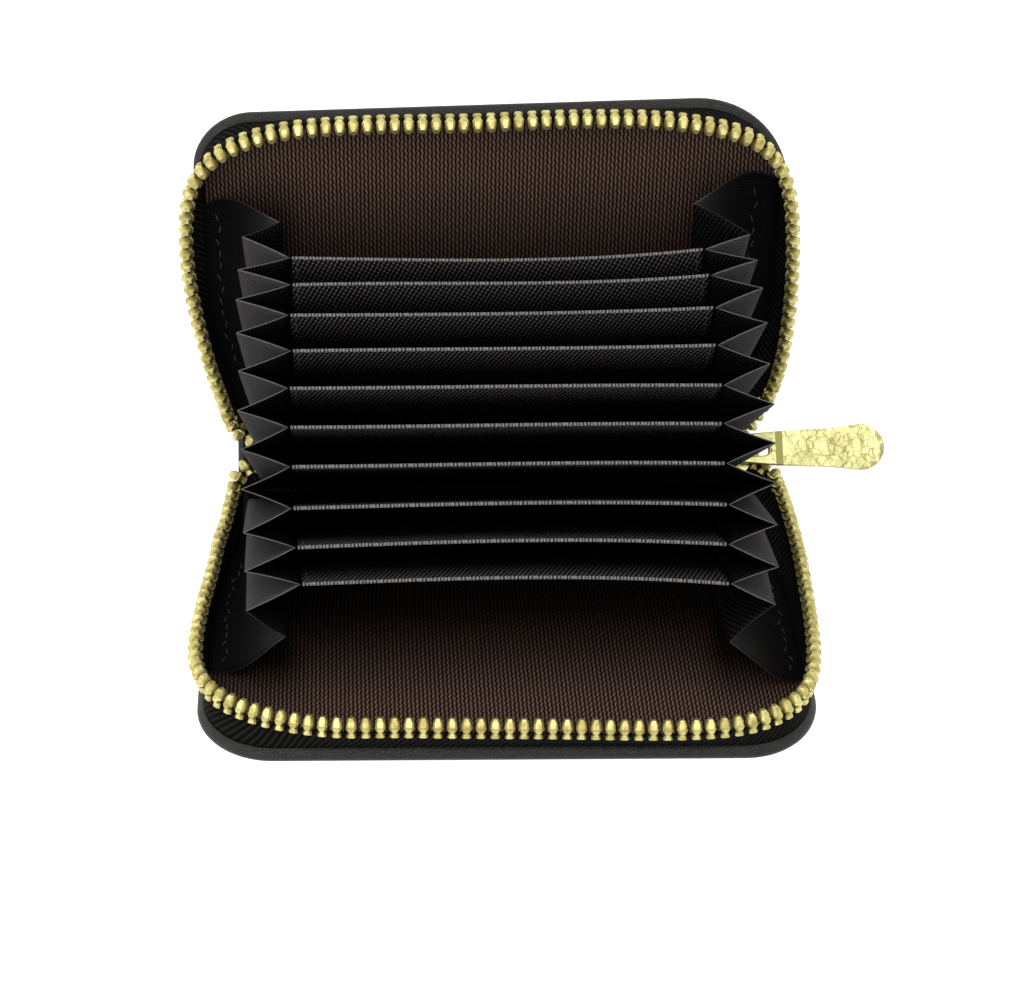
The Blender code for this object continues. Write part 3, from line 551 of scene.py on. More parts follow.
zip_paths = {}
for side, cover in COVERS:
    along, up = np.array(COURSES[side]).T * 0.001
    ends = [np.array(mouth[side]) * 0.001 for mouth in (RIGHT_MOUTH, LEFT_MOUTH)]
    middle = through(np.vstack([ends[0], on_cover(side, along, up, TOOTH_DEPTH), ends[1]]), 900)
    middle = smoothed(along_line(middle, np.linspace(0, lengths_along(middle)[-1], 420)), 14)
    tangent, normal, height = unit(np.gradient(middle, axis=0)), cover_normal(side), middle[:, 2:]
    raised = ease(height, 0.0055, 0.020)
    on_top = ease(np.abs(tangent[:, :1]), 0.35, 0.95) * ease(height, 0.012, 0.030)
    into = unit(np.cross(normal, tangent))
    into = into * np.sign(np.sum(into * (on_cover(side, 0, 0.03, 0) - middle), axis=1, keepdims=True))
    head = normal * raised + np.array([0, -side, 0.0]) * (1 - raised) + np.tan(HEAD_LEAN) * on_top * into
    head = square_to(head, tangent)
    zip_paths[side] = (middle, head)

    edge_along, edge_run, _, _ = hoop(side, BAND_WIDTH)
    edge = on_wrap(side, edge_along, edge_run, EDGE_DEPTH)
    gaps = np.linalg.norm(middle[:, None] - edge[None], axis=2)
    nearest = smoothed(lengths_along(edge)[gaps.argmin(axis=1)][:, None], 30)[:, 0]
    sewn = np.maximum(ease(np.abs(middle[:, :1]), 0.044, 0.0525), ease(height, 0.012, 0.020))
    beside = middle + np.array([0, side * 0.0040, -0.0022])
    root = smoothed(along_line(edge, nearest) * sewn + beside * (1 - sewn), 20)

    base = middle - head * (0.0001 + 0.0008 * on_top)
    pull = 0.4 * np.linalg.norm(base - root, axis=1, keepdims=True)
    lift = np.array([0, 0, 1.0]) * (1 - raised) + normal * raised
    points = curve_between(root, root + pull * lift, base - pull * head, base, np.linspace(0, 1, 9))
    widths = np.linalg.norm(np.diff(points, axis=1), axis=2)
    across = np.hstack([np.zeros((len(middle), 1)), np.cumsum(widths, axis=1)])
    flat_place = np.stack(np.broadcast_arrays(lengths_along(middle)[:, None], across), axis=-1)
    faces = grid_faces(*across.shape, turned=side > 0)
    tape = make_piece(f"tape_{cover}", points, faces, tape_cloth, flat_place)
    thicken(tape, TAPE_THICK)
    zip_ends(side)
    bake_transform(tape)
    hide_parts(f"zip_tape_{cover}", f"zip_tape_end_{cover}_left", f"zip_tape_end_{cover}_right")


# ---- Zip teeth ----
# Swaged brass teeth are clamped on the tape's free edge, ten to the inch. Each has flared jaws that grip
# the tape, a waist, and a rounded head with a ledge across it. The heads point in over the lining.
TOOTH_PITCH = 0.00247
TOOTH_PLACES = np.array([-1.72, -1.15, -0.85, -0.55, 0.00, 0.16, 1.02, 1.70]) * 0.001
TOOTH_WIDTHS = np.array([0.80, 0.72, 0.40, 0.72, 0.93, 0.86, 0.80, 0.42]) * 0.001
TOOTH_DEPTHS = np.array([0.98, 0.98, 0.96, 1.26, 1.38, 1.10, 0.98, 0.50]) * 0.001
TOOTH_CREASE = np.radians(34)

tarnish, given, result = node_group("tarnish", {"Place": "Vector", "Scale": "Float"}, "Share")
cloud = noise(tarnish, given["Place"], given["Scale"], 3.0)
tarnish.links.new(remap(tarnish, cloud, 0.0, 1.0, 0.34, 0.66), result)


def tarnished(tree, place, scale):
    """How far the metal has kept its shine at place, nought to one, from the shared group."""
    return place_node(tree, "Group", {"Place": place, "Scale": scale}, node_tree=tarnish).outputs["Share"]


def row_at(side, at):
    """The places, tangents and heads of a cover's course of teeth at the given lengths along it."""
    middle, head = zip_paths[side]
    tangents = heading(middle, at, 0.0006)
    return along_line(middle, at), tangents, square_to(along_line(middle, at, head), tangents)


brass, tree, shader = plain_material("brass", (0.50, 0.44, 0.12), 0.50, 1.0)
share = tarnished(tree, object_place(tree), 620.0)
tree.links.new(mixed_colour(tree, share, (0.42, 0.36, 0.12), (0.68, 0.62, 0.28)), shader.inputs["Base Color"])
tree.links.new(remap(tree, share, 0.62, 0.44), shader.inputs["Roughness"])

CLOSED_START, CLOSED_COUNT = 0.0007, 3  # the closed chain's teeth, between the bottom stop and the slider
OPEN_END = 0.0026  # the rows stop this far short of the tapes' ends
tooth = stations(TOOTH_PLACES, TOOTH_WIDTHS, TOOTH_DEPTHS)
closed_rows = []
for side, cover in COVERS:
    first = CLOSED_START + (0 if side > 0 else TOOTH_PITCH / 2)
    closed_rows.append(row_at(side, first + np.arange(CLOSED_COUNT) * TOOTH_PITCH))
    row_length = lengths_along(zip_paths[side][0])[-1] - OPEN_END
    at = np.arange(first + CLOSED_COUNT * TOOTH_PITCH, row_length, TOOTH_PITCH)
    teeth = row_of(f"teeth_{cover}", *tooth, *row_at(side, at), brass)
    teeth.data.set_sharp_from_angle(angle=TOOTH_CREASE)
    zip_ends(side)
    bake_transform(teeth)
    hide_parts(f"zip_teeth_{cover}", f"zip_teeth_end_{cover}_left", f"zip_teeth_end_{cover}_right")

chain = row_of("chain_closed", *tooth, *[np.vstack(values) for values in zip(*closed_rows)], brass)
chain.data.set_sharp_from_angle(angle=TOOTH_CREASE)
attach(chain, "spine")
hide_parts("zip_chain_closed")


# ---- Dividers ----
# Ten stiff panels stand like a fan on the spine. Each is a card with one strip of black ribbed cloth folded over its
# mouth edge, along which a line of small beads is painted into the cloth's colour as painted highlight.
FAN_STEP = np.radians(5.2)
FAN_MIDDLE = 5.5  # upright, between the fifth divider and the sixth
BASE_STEP, BASE_UP = 0.00140667, 0.0029
DIVIDER_HALF, DIVIDER_REACH, DIVIDER_THICK = 0.0375, 0.0605, 0.0006
BEAD_RADIUS, BEAD_PITCH = 0.00033, 0.00062
FACE_ROWS = 16
END_STITCH = 0.0021  # from stitch to stitch at a panel's ends
MIDWAY = 0.03  # up a panel or a cover, about half way
# Each divider's two ends along the spine, then how far its mouth edge sways to the back at the places below.
SWAY_PLACES = (-0.93, -0.46, 0.0, 0.49, 0.90)
DIVIDERS = [
    (-36.8, 35.5, (-2.00, -2.51, -2.72, -2.50, -1.56)),
    (-36.7, 36.1, (-0.72, -0.82, -0.86, -0.90, -0.19)),
    (-37.1, 36.4, (0.10, -0.05, -0.10, 0.03, 0.37)),
    (-36.7, 36.4, (0.35, 0.31, 0.24, 0.18, 0.28)),
    (-37.3, 37.1, (0.50, 0.38, 0.30, 0.22, 0.02)),
    (-37.3, 36.8, (0.55, 0.46, 0.36, 0.36, 0.12)),
    (-37.1, 37.1, (0.65, 0.64, 0.53, 0.50, 0.14)),
    (-37.0, 37.3, (0.46, 0.69, 0.60, 0.52, -0.08)),
    (-36.4, 37.2, (0.62, 1.05, 0.98, 0.86, 0.00)),
    (-35.7, 37.6, (1.08, 1.49, 1.36, 1.10, 0.00)),
]
RIB_ACROSS, RIB_ALONG = 0.00085, 0.00105  # from rib to rib along the mouth edge, and from thread to thread on one


def on_fan(turns, reach, off=0.0, sway=0.0):
    """A place on the fan's cross-section (out, up): turns steps round from upright, reach up from the base,
    off along the panel's normal, and a sway to the back that grows towards the mouth."""
    angle = turns * FAN_STEP
    out = turns * BASE_STEP + reach * np.sin(angle) + off * np.cos(angle)
    swayed = sway * np.clip(reach / DIVIDER_REACH, 0, 1) ** 1.6
    return out + swayed, BASE_UP + reach * np.cos(angle) - off * np.sin(angle)


divider_cloth, tree, shader = plain_material("divider_cloth", (0.010, 0.009, 0.009), 0.72, specular=0.04)
flat = cloth_place(tree)
ribs = ribbed(tree, flat, RIB_ACROSS, -0.33, RIB_ALONG, 0.3, 0.85)
bump_from(tree, shader, calculate(tree, "SUBTRACT", 1.0, ribs), 0.00020)  # the pale threads lie in the grooves
parts = place_node(tree, "SeparateXYZ", {0: flat}).outputs
from_middle, from_mouth = [calculate(tree, "ABSOLUTE", parts[axis]) for axis in "XY"]
# Painted shade: the pale threads and stitches fade to near black away from the mouth edge, where shade falls between
# the panels.
painted_fade_from_mouth = remap(tree, from_mouth, 1.0, 0.08, 0.0, 0.011)
shade = mixed_colour(tree, calculate(tree, "MULTIPLY", ribs, painted_fade_from_mouth), (0.0014, 0.0006, 0.0006), (0.25, 0.225, 0.225))
# Painted highlight: uneven beads of light along the mouth edge, painted into the cloth's colour.
uneven = calculate(tree, "MULTIPLY", noise(tree, flat, 900.0, 2.0), 5.0)
bead_highlight = calculate(tree, "SINE", calculate(tree, "MULTIPLY_ADD", parts["X"], 2 * np.pi / BEAD_PITCH, uneven))
bead_highlight = calculate(tree, "MULTIPLY_ADD", bead_highlight, 0.5, 0.5)
bead_highlight = calculate(tree, "MULTIPLY", bead_highlight, calculate(tree, "LESS_THAN", from_mouth, 0.00042))
shade = mixed_colour(tree, bead_highlight, shade, (0.26, 0.245, 0.245))
# A row of stitches beside each end, faded with the same painted shade.
stitch = calculate(tree, "SINE", calculate(tree, "MULTIPLY", parts["Y"], 2 * np.pi / END_STITCH))
stitch = calculate(tree, "GREATER_THAN", stitch, 0.25)
at_end = calculate(tree, "GREATER_THAN", from_middle, DIVIDER_HALF - 0.0011)
inside = calculate(tree, "LESS_THAN", from_middle, DIVIDER_HALF - 0.0008)
for limit in (at_end, inside, painted_fade_from_mouth):
    stitch = calculate(tree, "MULTIPLY", stitch, limit)
tree.links.new(mixed_colour(tree, stitch, shade, (0.12, 0.115, 0.115)), shader.inputs["Base Color"])

bead_turn = np.linspace(-0.6 * np.pi, 0.6 * np.pi, 9)
face_reach = np.linspace(0.0002, DIVIDER_REACH - 0.0009, FACE_ROWS)
face_off = np.full(FACE_ROWS, DIVIDER_THICK / 2)
divider_off = np.concatenate([-face_off, BEAD_RADIUS * np.sin(bead_turn), face_off])
bead_reach = DIVIDER_REACH - BEAD_RADIUS + BEAD_RADIUS * np.cos(bead_turn)
divider_reach = np.concatenate([face_reach, bead_reach, face_reach[::-1]])
strip = lengths_along(np.stack([divider_off, divider_reach], axis=-1))
strip = strip - strip[-1] / 2  # along the strip of cloth, nought on the mouth edge
shares = np.linspace(-1, 1, 73)
divider_sway = {}
for number, (left_end, right_end, sways) in enumerate(DIVIDERS, 1):
    turns = FAN_MIDDLE - number
    bend = np.polyfit(SWAY_PLACES, sways, 3)
    divider_sway[number] = {end: float(np.polyval(bend, end)) * 0.001 for end in (-1, 1)}
    sway = np.polyval(bend, shares)[:, None] * 0.001
    out, up = on_fan(turns, divider_reach[None], divider_off[None], sway)
    ends = (left_end * (1 - shares) + right_end * (1 + shares))[:, None] / 2000
    grown = np.clip(divider_reach / DIVIDER_REACH, 0, 1)[None] ** 2
    along = shares[:, None] * DIVIDER_HALF * (1 - grown) + ends * grown
    points = np.stack(np.broadcast_arrays(along, out, up), axis=-1)
    flat_place = np.stack(np.broadcast_arrays(shares[:, None] * DIVIDER_HALF, strip[None]), axis=-1)
    faces = tube_faces(*points.shape[:2], turned=True)
    divider = make_piece(f"panel_{number:02d}", points, faces, divider_cloth, flat_place)
    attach(divider, f"divider_{number:02d}")
    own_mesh(divider)
    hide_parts(f"divider_{number:02d}")


# ---- Gussets ----
# One strip of finer dark cloth closes each end of the fan. It is folded like an accordion, inward at each
# divider and outward to a sharp tip between two, and its ends are sewn down on the linings.
GUSSET_LOW, GUSSET_HIGH = 0.0048, 0.0603
FOLD_OUT = 0.0004  # the inward folds lie this far past the panels' ends
PLEAT_BOW, WALL_BOW = 0.00012, 0.0003
# The tips' lower ends along the spine, by end, and their upper ends with their sway to the back, in millimetres.
TIP_LOW = {1: [41.5] * 6 + [45.5] + [50.0] * 4, -1: [43.5] * 3 + [43.2] * 3 + [44.5, 46.5] + [47.0] * 3}
LEFT_TIPS = [(-45.5, -0.85), (-46.2, -1.01), (-46.5, -0.19), (-46.4, 0.36), (-46.1, 0.28), (-46.3, 0.17)]
LEFT_TIPS += [(-45.8, 0.31), (-45.8, 0.42), (-45.6, -0.14), (-45.5, 0.08), (-45.4, -0.01)]
RIGHT_TIPS = [(44.3, -1.44), (45.0, -0.33), (45.4, 0.75), (45.7, 0.91), (45.7, 0.22), (46.1, -0.09)]
RIGHT_TIPS += [(46.0, -0.02), (46.0, -0.08), (46.0, -0.44), (46.2, -0.93), (45.6, -0.73)]
# The walls beside the covers, by cover and end: the outer fold's top (along, out, height), then the two
# places where the top edge meets the lining and where it ends under the tape (along, up), in millimetres.
WALLS = {
    (1, -1): ((-39.0, 35.9, 54.9), (-50.9, 51.6), (-53.9, 50.4)),
    (1, 1): ((34.9, 38.7, 54.2), (48.6, 54.4), (53.6, 53.0)),
    (-1, -1): ((-38.8, 37.8, 54.8), (-50.4, 47.0), (-53.0, 46.6)),
    (-1, 1): ((38.1, 40.2, 53.1), (51.4, 51.4), (54.0, 50.6)),
}
WALL_SHADE = {1: (0.45, 0.55, 0.90), -1: (0.72, 0.78, 0.94)}  # how much painted shade darkens each cover's wall, from its fold on
SEWN_LOW, SEWN_DEPTH = 0.0035, 0.0029  # a wall is sewn to the lining from this height up, at this depth
CLOTH_THICK = 0.00018

gusset_cloth, tree, shader = plain_material("gusset_cloth", (0.040, 0.037, 0.039), 0.75, specular=0.08)
parts = place_node(tree, "SeparateXYZ", {0: cloth_place(tree)}).outputs
turned = place_node(tree, "CombineXYZ", {0: parts["Y"], 1: parts["X"]}).outputs[0]
ribs = ribbed(tree, turned, 0.00062, 0.40, 0.00045, 0.0, 0.25)
bump_from(tree, shader, ribs, 0.00012)
shade = mixed_colour(tree, ribs, (0.026, 0.0245, 0.0255), (0.082, 0.0765, 0.080))
# Painted shade: where the panel's shade attribute is high, its colour goes near black, for the shade on the walls.
painted_wall_shade = place_node(tree, "Attribute", attribute_name="painted_shade").outputs["Fac"]
shade = mixed_colour(tree, painted_wall_shade, shade, (0.0012, 0.0008, 0.0009))
# A paler line along the top edge, dimmed where the painted shade lies.
edge = calculate(tree, "GREATER_THAN", parts["Y"], GUSSET_HIGH - 0.00022)
edge = calculate(tree, "MULTIPLY", edge, calculate(tree, "MULTIPLY_ADD", painted_wall_shade, -0.85, 1.0))
tree.links.new(mixed_colour(tree, edge, shade, (0.115, 0.110, 0.110)), shader.inputs["Base Color"])

# Painted shade: the pockets' side of the gusset cloth is a far darker copy of the cloth, for the shade inside the
# pleats.
shaded_pocket_side, tree, shader = plain_material("gusset_pocket_side_shaded", (0.004, 0.003, 0.004), 0.85, specular=0.03)
ribs = ribbed(tree, cloth_place(tree), 0.00068, -0.244, 0.00100, 0.3, 0.85)
bump_from(tree, shader, ribs, 0.00012)
shade = mixed_colour(tree, ribs, (0.0010, 0.0006, 0.0009), (0.018, 0.0165, 0.0165))
tree.links.new(shade, shader.inputs["Base Color"])

grey_thread, tree, shader = plain_material("grey_thread", (0.060, 0.060, 0.068), 0.7)
shade = mixed_colour(tree, noise(tree, object_place(tree), 700.0, 2.0), (0.004, 0.004, 0.005), (0.060, 0.060, 0.068))
tree.links.new(shade, shader.inputs["Base Color"])

pleat_reach = np.linspace(GUSSET_LOW, GUSSET_HIGH, 24)
pleat_share = (pleat_reach - GUSSET_LOW) / (GUSSET_HIGH - GUSSET_LOW)


def between(a, b, steps, bow=0.0):
    """A ruled surface from line a to line b, bowed along the normal of each ruling by bow at its middle."""
    t = steps[None, :, None]
    flat_surface = a[:, None] * (1 - t) + b[:, None] * t
    across = unit(np.cross(b - a, np.gradient(a, axis=0)))[:, None]
    return flat_surface + np.sin(np.pi * t) * bow * across


def cloth_panel(name, points, turned, painted_shade):
    """A pleat or a wall from its grid of places. Its pattern place is its own place along the spine and its reach.
    The pockets' side of the cloth is the side away from its faces and carries a far darker copy of the cloth, as
    painted shade. The last argument, nought to one across the panel, is how far the colour is darkened to painted
    shade."""
    flat_place = np.stack(np.broadcast_arrays(points[..., 0], pleat_reach[:, None]), axis=-1)
    panel = make_piece(name, points, grid_faces(*points.shape[:2], turned=turned), gusset_cloth, flat_place)
    shade_attribute = panel.data.attributes.new("painted_shade", "FLOAT", "POINT")
    shade_attribute.data.foreach_set("value", np.broadcast_to(painted_shade, points.shape[:2]).astype(float).ravel())
    panel.data.materials.append(shaded_pocket_side)
    thicken(panel, CLOTH_THICK).material_offset = 1
    return panel


steps = np.linspace(0, 1, 7)
for end, hand, tops in ((1, "right", RIGHT_TIPS), (-1, "left", LEFT_TIPS)):
    tips = []
    for tip_low, (tip_top, sway) in zip(TIP_LOW[end], tops):
        out, up = on_fan(FAN_MIDDLE - 0.5 - len(tips), pleat_reach, 0.0, sway * 0.001)
        grown = np.clip(pleat_share * 1.12 - 0.12, 0, 1)
        along = (end * tip_low + (tip_top - end * tip_low) * grown) * 0.001
        tips.append(np.stack([along, out, up], axis=-1))
    for number in range(1, 11):
        out, up = on_fan(FAN_MIDDLE - number, pleat_reach, 0.0, divider_sway[number][end])
        fold_top = DIVIDERS[number - 1][0 if end < 0 else 1] * 0.001 + end * FOLD_OUT
        along = end * (DIVIDER_HALF + FOLD_OUT) * (1 - pleat_share**2) + fold_top * pleat_share**2
        fold = np.stack([along, out, up], axis=-1)
        first = between(tips[number - 1], fold, steps, PLEAT_BOW * end)
        second = between(fold, tips[number], steps[1:], PLEAT_BOW * end)
        pleat = cloth_panel(f"pleat_{hand}_{number:02d}", np.concatenate([first, second], axis=1), end > 0, 0.0)
        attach(pleat, f"divider_{number:02d}")
        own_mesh(pleat)
        if number == 1:
            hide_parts(f"gusset_{hand}")
    for (side, cover), edge_number in zip(COVERS, (0, 10)):
        fold_top, meets, ends = [np.array(place) * 0.001 for place in WALLS[side, end]]
        base_out, base_up = on_fan(FAN_MIDDLE - 0.05, GUSSET_LOW)
        fold_base = np.array([end * (DIVIDER_HALF + FOLD_OUT), side * base_out, base_up])
        outer = fold_base + (fold_top * [1, side, 1] - fold_base) * pleat_share[:, None]
        sewn, hidden = [
            on_wrap(side, along, HINGE_RUN + SEWN_LOW + (up - SEWN_LOW) * pleat_share, SEWN_DEPTH)
            for along, up in (meets, ends)
        ]
        reach_out = np.linalg.norm(sewn - outer, axis=1, keepdims=True)
        leaving = sewn - unit(hidden - sewn) * 0.16 * reach_out + (outer - sewn) * 0.10
        settling = outer + (sewn - outer) * 0.34
        first = between(tips[edge_number], outer, steps, WALL_BOW)
        draped = curve_between(outer, settling, leaving, sewn, np.linspace(0, 1, 13)[1:])
        strip = between(sewn, hidden, np.array([0.5, 1.0]))
        points = np.concatenate([first, draped, strip], axis=1)
        # Painted shade along a wall: near black except at the outer fold and just past it.
        painted_shade = np.interp(np.arange(points.shape[1]), [5, 6, 7, 9, 12], [1, *WALL_SHADE[side], 1.0])
        wall = cloth_panel(f"gusset_wall_{cover}_{hand}", points, side * end < 0, painted_shade)
        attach(wall, f"{cover}_cover")
        normal = cover_normal(side)
        tuple(on_cover(side, 0, MIDWAY, 0.0024))
        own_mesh(wall)

        middles = along_line(sewn, lengths_along(sewn)[-1] * np.arange(0.30, 0.97, 0.052))
        wobble = np.sin(np.arange(len(middles)) * 2.4)[:, None] * np.array([1.0, 0, 0])
        runs = unit(unit(sewn[-1] - sewn[0]) + 0.4 * wobble)
        row = middles + 0.0003 * (wobble + normal), runs, np.broadcast_to(normal, middles.shape)
        shape = stitch_shape(0.0014, 0.00011)
        thread = row_of(f"gusset_stitches_{cover}_{hand}", *shape, *row, grey_thread)
        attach(thread, f"{cover}_cover")


# ---- Stops ----
# Small brass bars are clamped over the tape at both ends of the zip, one across the closed end and one on
# each row at the open end, so that the slider can't run off.
def rounded_outline(low, high, radius):
    """A rectangle from low to high with round corners, as a closed line."""
    low, high = np.array(low), np.array(high)
    quarters = []
    for quarter, corner in enumerate([(high[0], high[1]), (low[0], high[1]), (low[0], low[1]), (high[0], low[1])]):
        centre = np.array(corner) - radius * np.sign(np.array(corner) - (low + high) / 2)
        angle = np.linspace(0, np.pi / 2, 5) + quarter * np.pi / 2
        quarters.append(centre + radius * np.stack([np.cos(angle), np.sin(angle)], axis=-1))
    return np.vstack(quarters)


def slab(outline, low, high, rounding):
    """A closed slab on a plan outline, from height low to high, its edges rounded by drawing the rings in."""
    centre = outline.mean(axis=0)
    size = np.linalg.norm(outline - centre, axis=1, keepdims=True)
    levels = [(low, 1.0), (low, 0.3), (low + rounding, 0.0), (high - rounding, 0.0), (high, 0.3), (high, 1.0)]
    rings = [
        np.hstack([centre + (outline - centre) * (1 - inset * rounding / size), np.full((len(outline), 1), height)])
        for height, inset in levels
    ]
    return np.vstack(rings), tube_faces(len(rings), len(outline))


def joined(shapes):
    """Several shapes as one: their points one after the other, each shape's faces counted on from the last."""
    starts = np.cumsum([0] + [len(points) for points, _ in shapes[:-1]])
    faces = [[corner + int(start) for corner in face] for start, (_, shape) in zip(starts, shapes) for face in shape]
    return np.vstack([points for points, _ in shapes]), faces


MOUTH_MIDDLE = 0.00235  # the soft zip lies this far to the back of the spine's middle
STOP_LOW, STOP_HIGH, STOP_ROUND = 0.0038, 0.0066, 0.0004
STOPS = {
    "zip_bottom_stop": ((0.0384, MOUTH_MIDDLE - 0.0029), (0.0397, MOUTH_MIDDLE + 0.0029)),
    "zip_top_stop_back": ((-0.0397, 0.0042), (-0.0384, 0.0078)),
    "zip_top_stop_front": ((-0.0397, 0.0001), (-0.0384, 0.0036)),
}
for node, (low, high) in STOPS.items():
    bar = slab(rounded_outline(low, high, STOP_ROUND), STOP_LOW, STOP_HIGH, STOP_ROUND)
    stop = make_piece(node.replace("zip_", ""), *bar, brass)
    stop.data.set_sharp_from_angle(angle=TOOTH_CREASE)
    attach(stop, "spine")
    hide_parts(node)


# ---- Slider ----
# The die-cast slider has two plates with turned-in rails that hold the tape's teeth, a post between them at
# the open nose, and a bridge on top that carries the pull tab.
SLIDER_REAR, SLIDER_LOW, SLIDER_HIGH = 0.0400, 0.0029, 0.0075
PLATE_THICK, RAIL_THICK, RAIL_WIDTH = 0.00085, 0.0012, 0.0008
BRIDGE_HALF, BRIDGE_BAR = 0.0010, 0.0009
BRIDGE_SIZE = np.array([0.00325, 0.0038])  # half its length, and its rise

pale_gold, tree, shader = plain_material("pale_gold", (0.80, 0.75, 0.45), 0.30, 1.0)
share = tarnished(tree, object_place(tree), 900.0)
tree.links.new(mixed_colour(tree, share, (0.28, 0.25, 0.10), (0.48, 0.44, 0.20)), shader.inputs["Base Color"])
tree.links.new(remap(tree, share, 0.38, 0.24), shader.inputs["Roughness"])
bump_from(tree, shader, share, 0.00003)

plan_along = np.array([0.0, 0.0004, 0.0016, 0.0040, 0.0062, 0.0080, 0.0092, 0.0100, 0.0105]) + SLIDER_REAR
plan_half = np.array([2.7, 3.1, 3.35, 3.6, 4.1, 4.35, 4.2, 3.6, 2.6]) * 0.001
rims = {side: np.stack([plan_along, MOUTH_MIDDLE + side * plan_half], axis=-1) for side in (1, -1)}
plan = np.vstack([rims[1][::-1], rims[-1]])
plates = [slab(plan, SLIDER_LOW, SLIDER_LOW + PLATE_THICK, 0.00025)]
plates.append(slab(plan, SLIDER_HIGH - PLATE_THICK, SLIDER_HIGH, 0.0003))
for side in (1, -1):
    rail = rims[side][:7]
    inner = rail - [0, side * RAIL_WIDTH]
    rail_plan = np.vstack([rail[::-1], inner] if side > 0 else [inner[::-1], rail])
    for low in (SLIDER_LOW + 0.0006, SLIDER_HIGH - 0.0018):
        plates.append(slab(rail_plan, low, low + RAIL_THICK, 0.0001))
post = np.array([(0.0103, 0), (0.0096, 0.0013), (0.0080, 0.0009), (0.0070, 0), (0.0080, -0.0009), (0.0096, -0.0013)])
post = post + [SLIDER_REAR, MOUTH_MIDDLE]
plates.append(slab(post, SLIDER_LOW + 0.0005, SLIDER_HIGH - 0.0005, 0.0001))
arch = np.linspace(0, np.pi, 21)
arch_centre = np.array([SLIDER_REAR + 0.00625, SLIDER_HIGH - 0.0003])
bow = np.stack([-np.sign(np.cos(arch)) * np.abs(np.cos(arch)) ** 0.55, np.sin(arch) ** 0.55], axis=-1)
outer_bow = arch_centre + bow * BRIDGE_SIZE
inner_bow = arch_centre + bow * (BRIDGE_SIZE - BRIDGE_BAR)
ring_share = np.array([(0.0, 0.75), (0.25, 1.0), (0.75, 1.0), (1.0, 0.75)])
ring_share = np.vstack([ring_share, ring_share[::-1] * [1, -1]])
bar_place = inner_bow[:, None] * (1 - ring_share[:, :1]) + outer_bow[:, None] * ring_share[:, :1]
bar_across = np.broadcast_to(MOUTH_MIDDLE + BRIDGE_HALF * ring_share[:, 1], bar_place.shape[:2])
bridge = np.stack([bar_place[..., 0], bar_across, bar_place[..., 1]], axis=-1).reshape(-1, 3)
plates.append((bridge, tube_faces(len(arch), 8)))
slider = make_piece("slider", *joined(plates), pale_gold)
slider.data.set_sharp_from_angle(angle=np.radians(40))
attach(slider, "zip_slider")
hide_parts("zip_slider")


# ---- Pull tab ----
# A long flat die-cast plate with a slot at its root for the slider's bridge. Its face is hammered from just past the
# slot out to the round end, but for a plain band across it.
TAB_MIDDLE = 0.00255
TAB_LOW, TAB_HIGH = 0.0082, 0.0094
TAB_ROUND = 0.00028
TAB_ROOT, ROOT_ROUND = 0.0479, 0.0009
TAB_ROUND_FROM, TAB_TIP = 0.0722, 0.0769
SLOT_MIDDLE, SLOT_HALF = 0.0510, (0.0030, 0.0015)
RIB_START, BAND_START, BAND_END = 0.0544, 0.0554, 0.0568

hammered_gold, tree, shader = plain_material("hammered_gold", (0.78, 0.72, 0.36), 0.30, 1.0)
place = object_place(tree)
along = place_node(tree, "SeparateXYZ", {0: place}).outputs["X"]
plain = calculate(tree, "GREATER_THAN", along, BAND_START)
plain = calculate(tree, "MULTIPLY", plain, calculate(tree, "LESS_THAN", along, BAND_END))
beaten = calculate(tree, "MAXIMUM", plain, calculate(tree, "LESS_THAN", along, RIB_START))
beaten = calculate(tree, "SUBTRACT", 1.0, beaten)
bent = {0: noise(tree, place, 500.0, 2.0, "Color"), 1: (0.0011, 0.0011, 0.0011), 2: place}
bent = place_node(tree, "VectorMath", bent, operation="MULTIPLY_ADD").outputs[0]
bump_from(tree, shader, calculate(tree, "MULTIPLY", cells(tree, bent, 620.0, "F1"), beaten), 0.00030)
crease = remap(tree, cells(tree, bent, 620.0, "DISTANCE_TO_EDGE"), 1.0, 0.0, 0.0, 0.11)
crease = calculate(tree, "MULTIPLY", crease, calculate(tree, "MULTIPLY", tarnished(tree, place, 420.0), beaten))
shade = mixed_colour(tree, tarnished(tree, bent, 260.0), (0.37, 0.35, 0.15), (0.63, 0.60, 0.28))
shade = mixed_colour(tree, crease, shade, (0.20, 0.18, 0.06))
shade = mixed_colour(tree, plain, shade, (0.215, 0.20, 0.068))
tree.links.new(shade, shader.inputs["Base Color"])
tree.links.new(remap(tree, beaten, 0.42, 0.24), shader.inputs["Roughness"])

turn = np.linspace(0, np.pi / 2, 12)
side_along = np.linspace(TAB_ROOT, TAB_ROUND_FROM, 40)
width_at = [TAB_ROOT, 0.0520, 0.0549, 0.0568, 0.0668, TAB_ROUND_FROM]
side_half = np.interp(side_along, width_at, [2.7, 3.05, 3.3, 3.4, 3.85, 4.55])
side_half = smoothed(side_half[:, None], 10)[:, 0] * 0.001
root_round = [TAB_ROOT - ROOT_ROUND * np.cos(turn[:-1]), side_half[0] - ROOT_ROUND * (1 - np.sin(turn[:-1]))]
tip_round = [TAB_ROUND_FROM + (TAB_TIP - TAB_ROUND_FROM) * np.sin(turn[1:]), side_half[-1] * np.cos(turn[1:])]
upper = np.hstack([root_round, [side_along, side_half], tip_round]).T
outline = np.vstack([upper[::-1], upper[:-1] * [1, -1]])
from_slot = outline - [SLOT_MIDDLE, 0]
slot_turn = np.arctan2(from_slot[:, 1], from_slot[:, 0])
slot_edge = np.stack([np.cos(slot_turn), np.sin(slot_turn)], axis=-1)
slot_edge = slot_edge / (np.abs(slot_edge / SLOT_HALF) ** 5).sum(axis=1, keepdims=True) ** 0.2 + [SLOT_MIDDLE, 0]
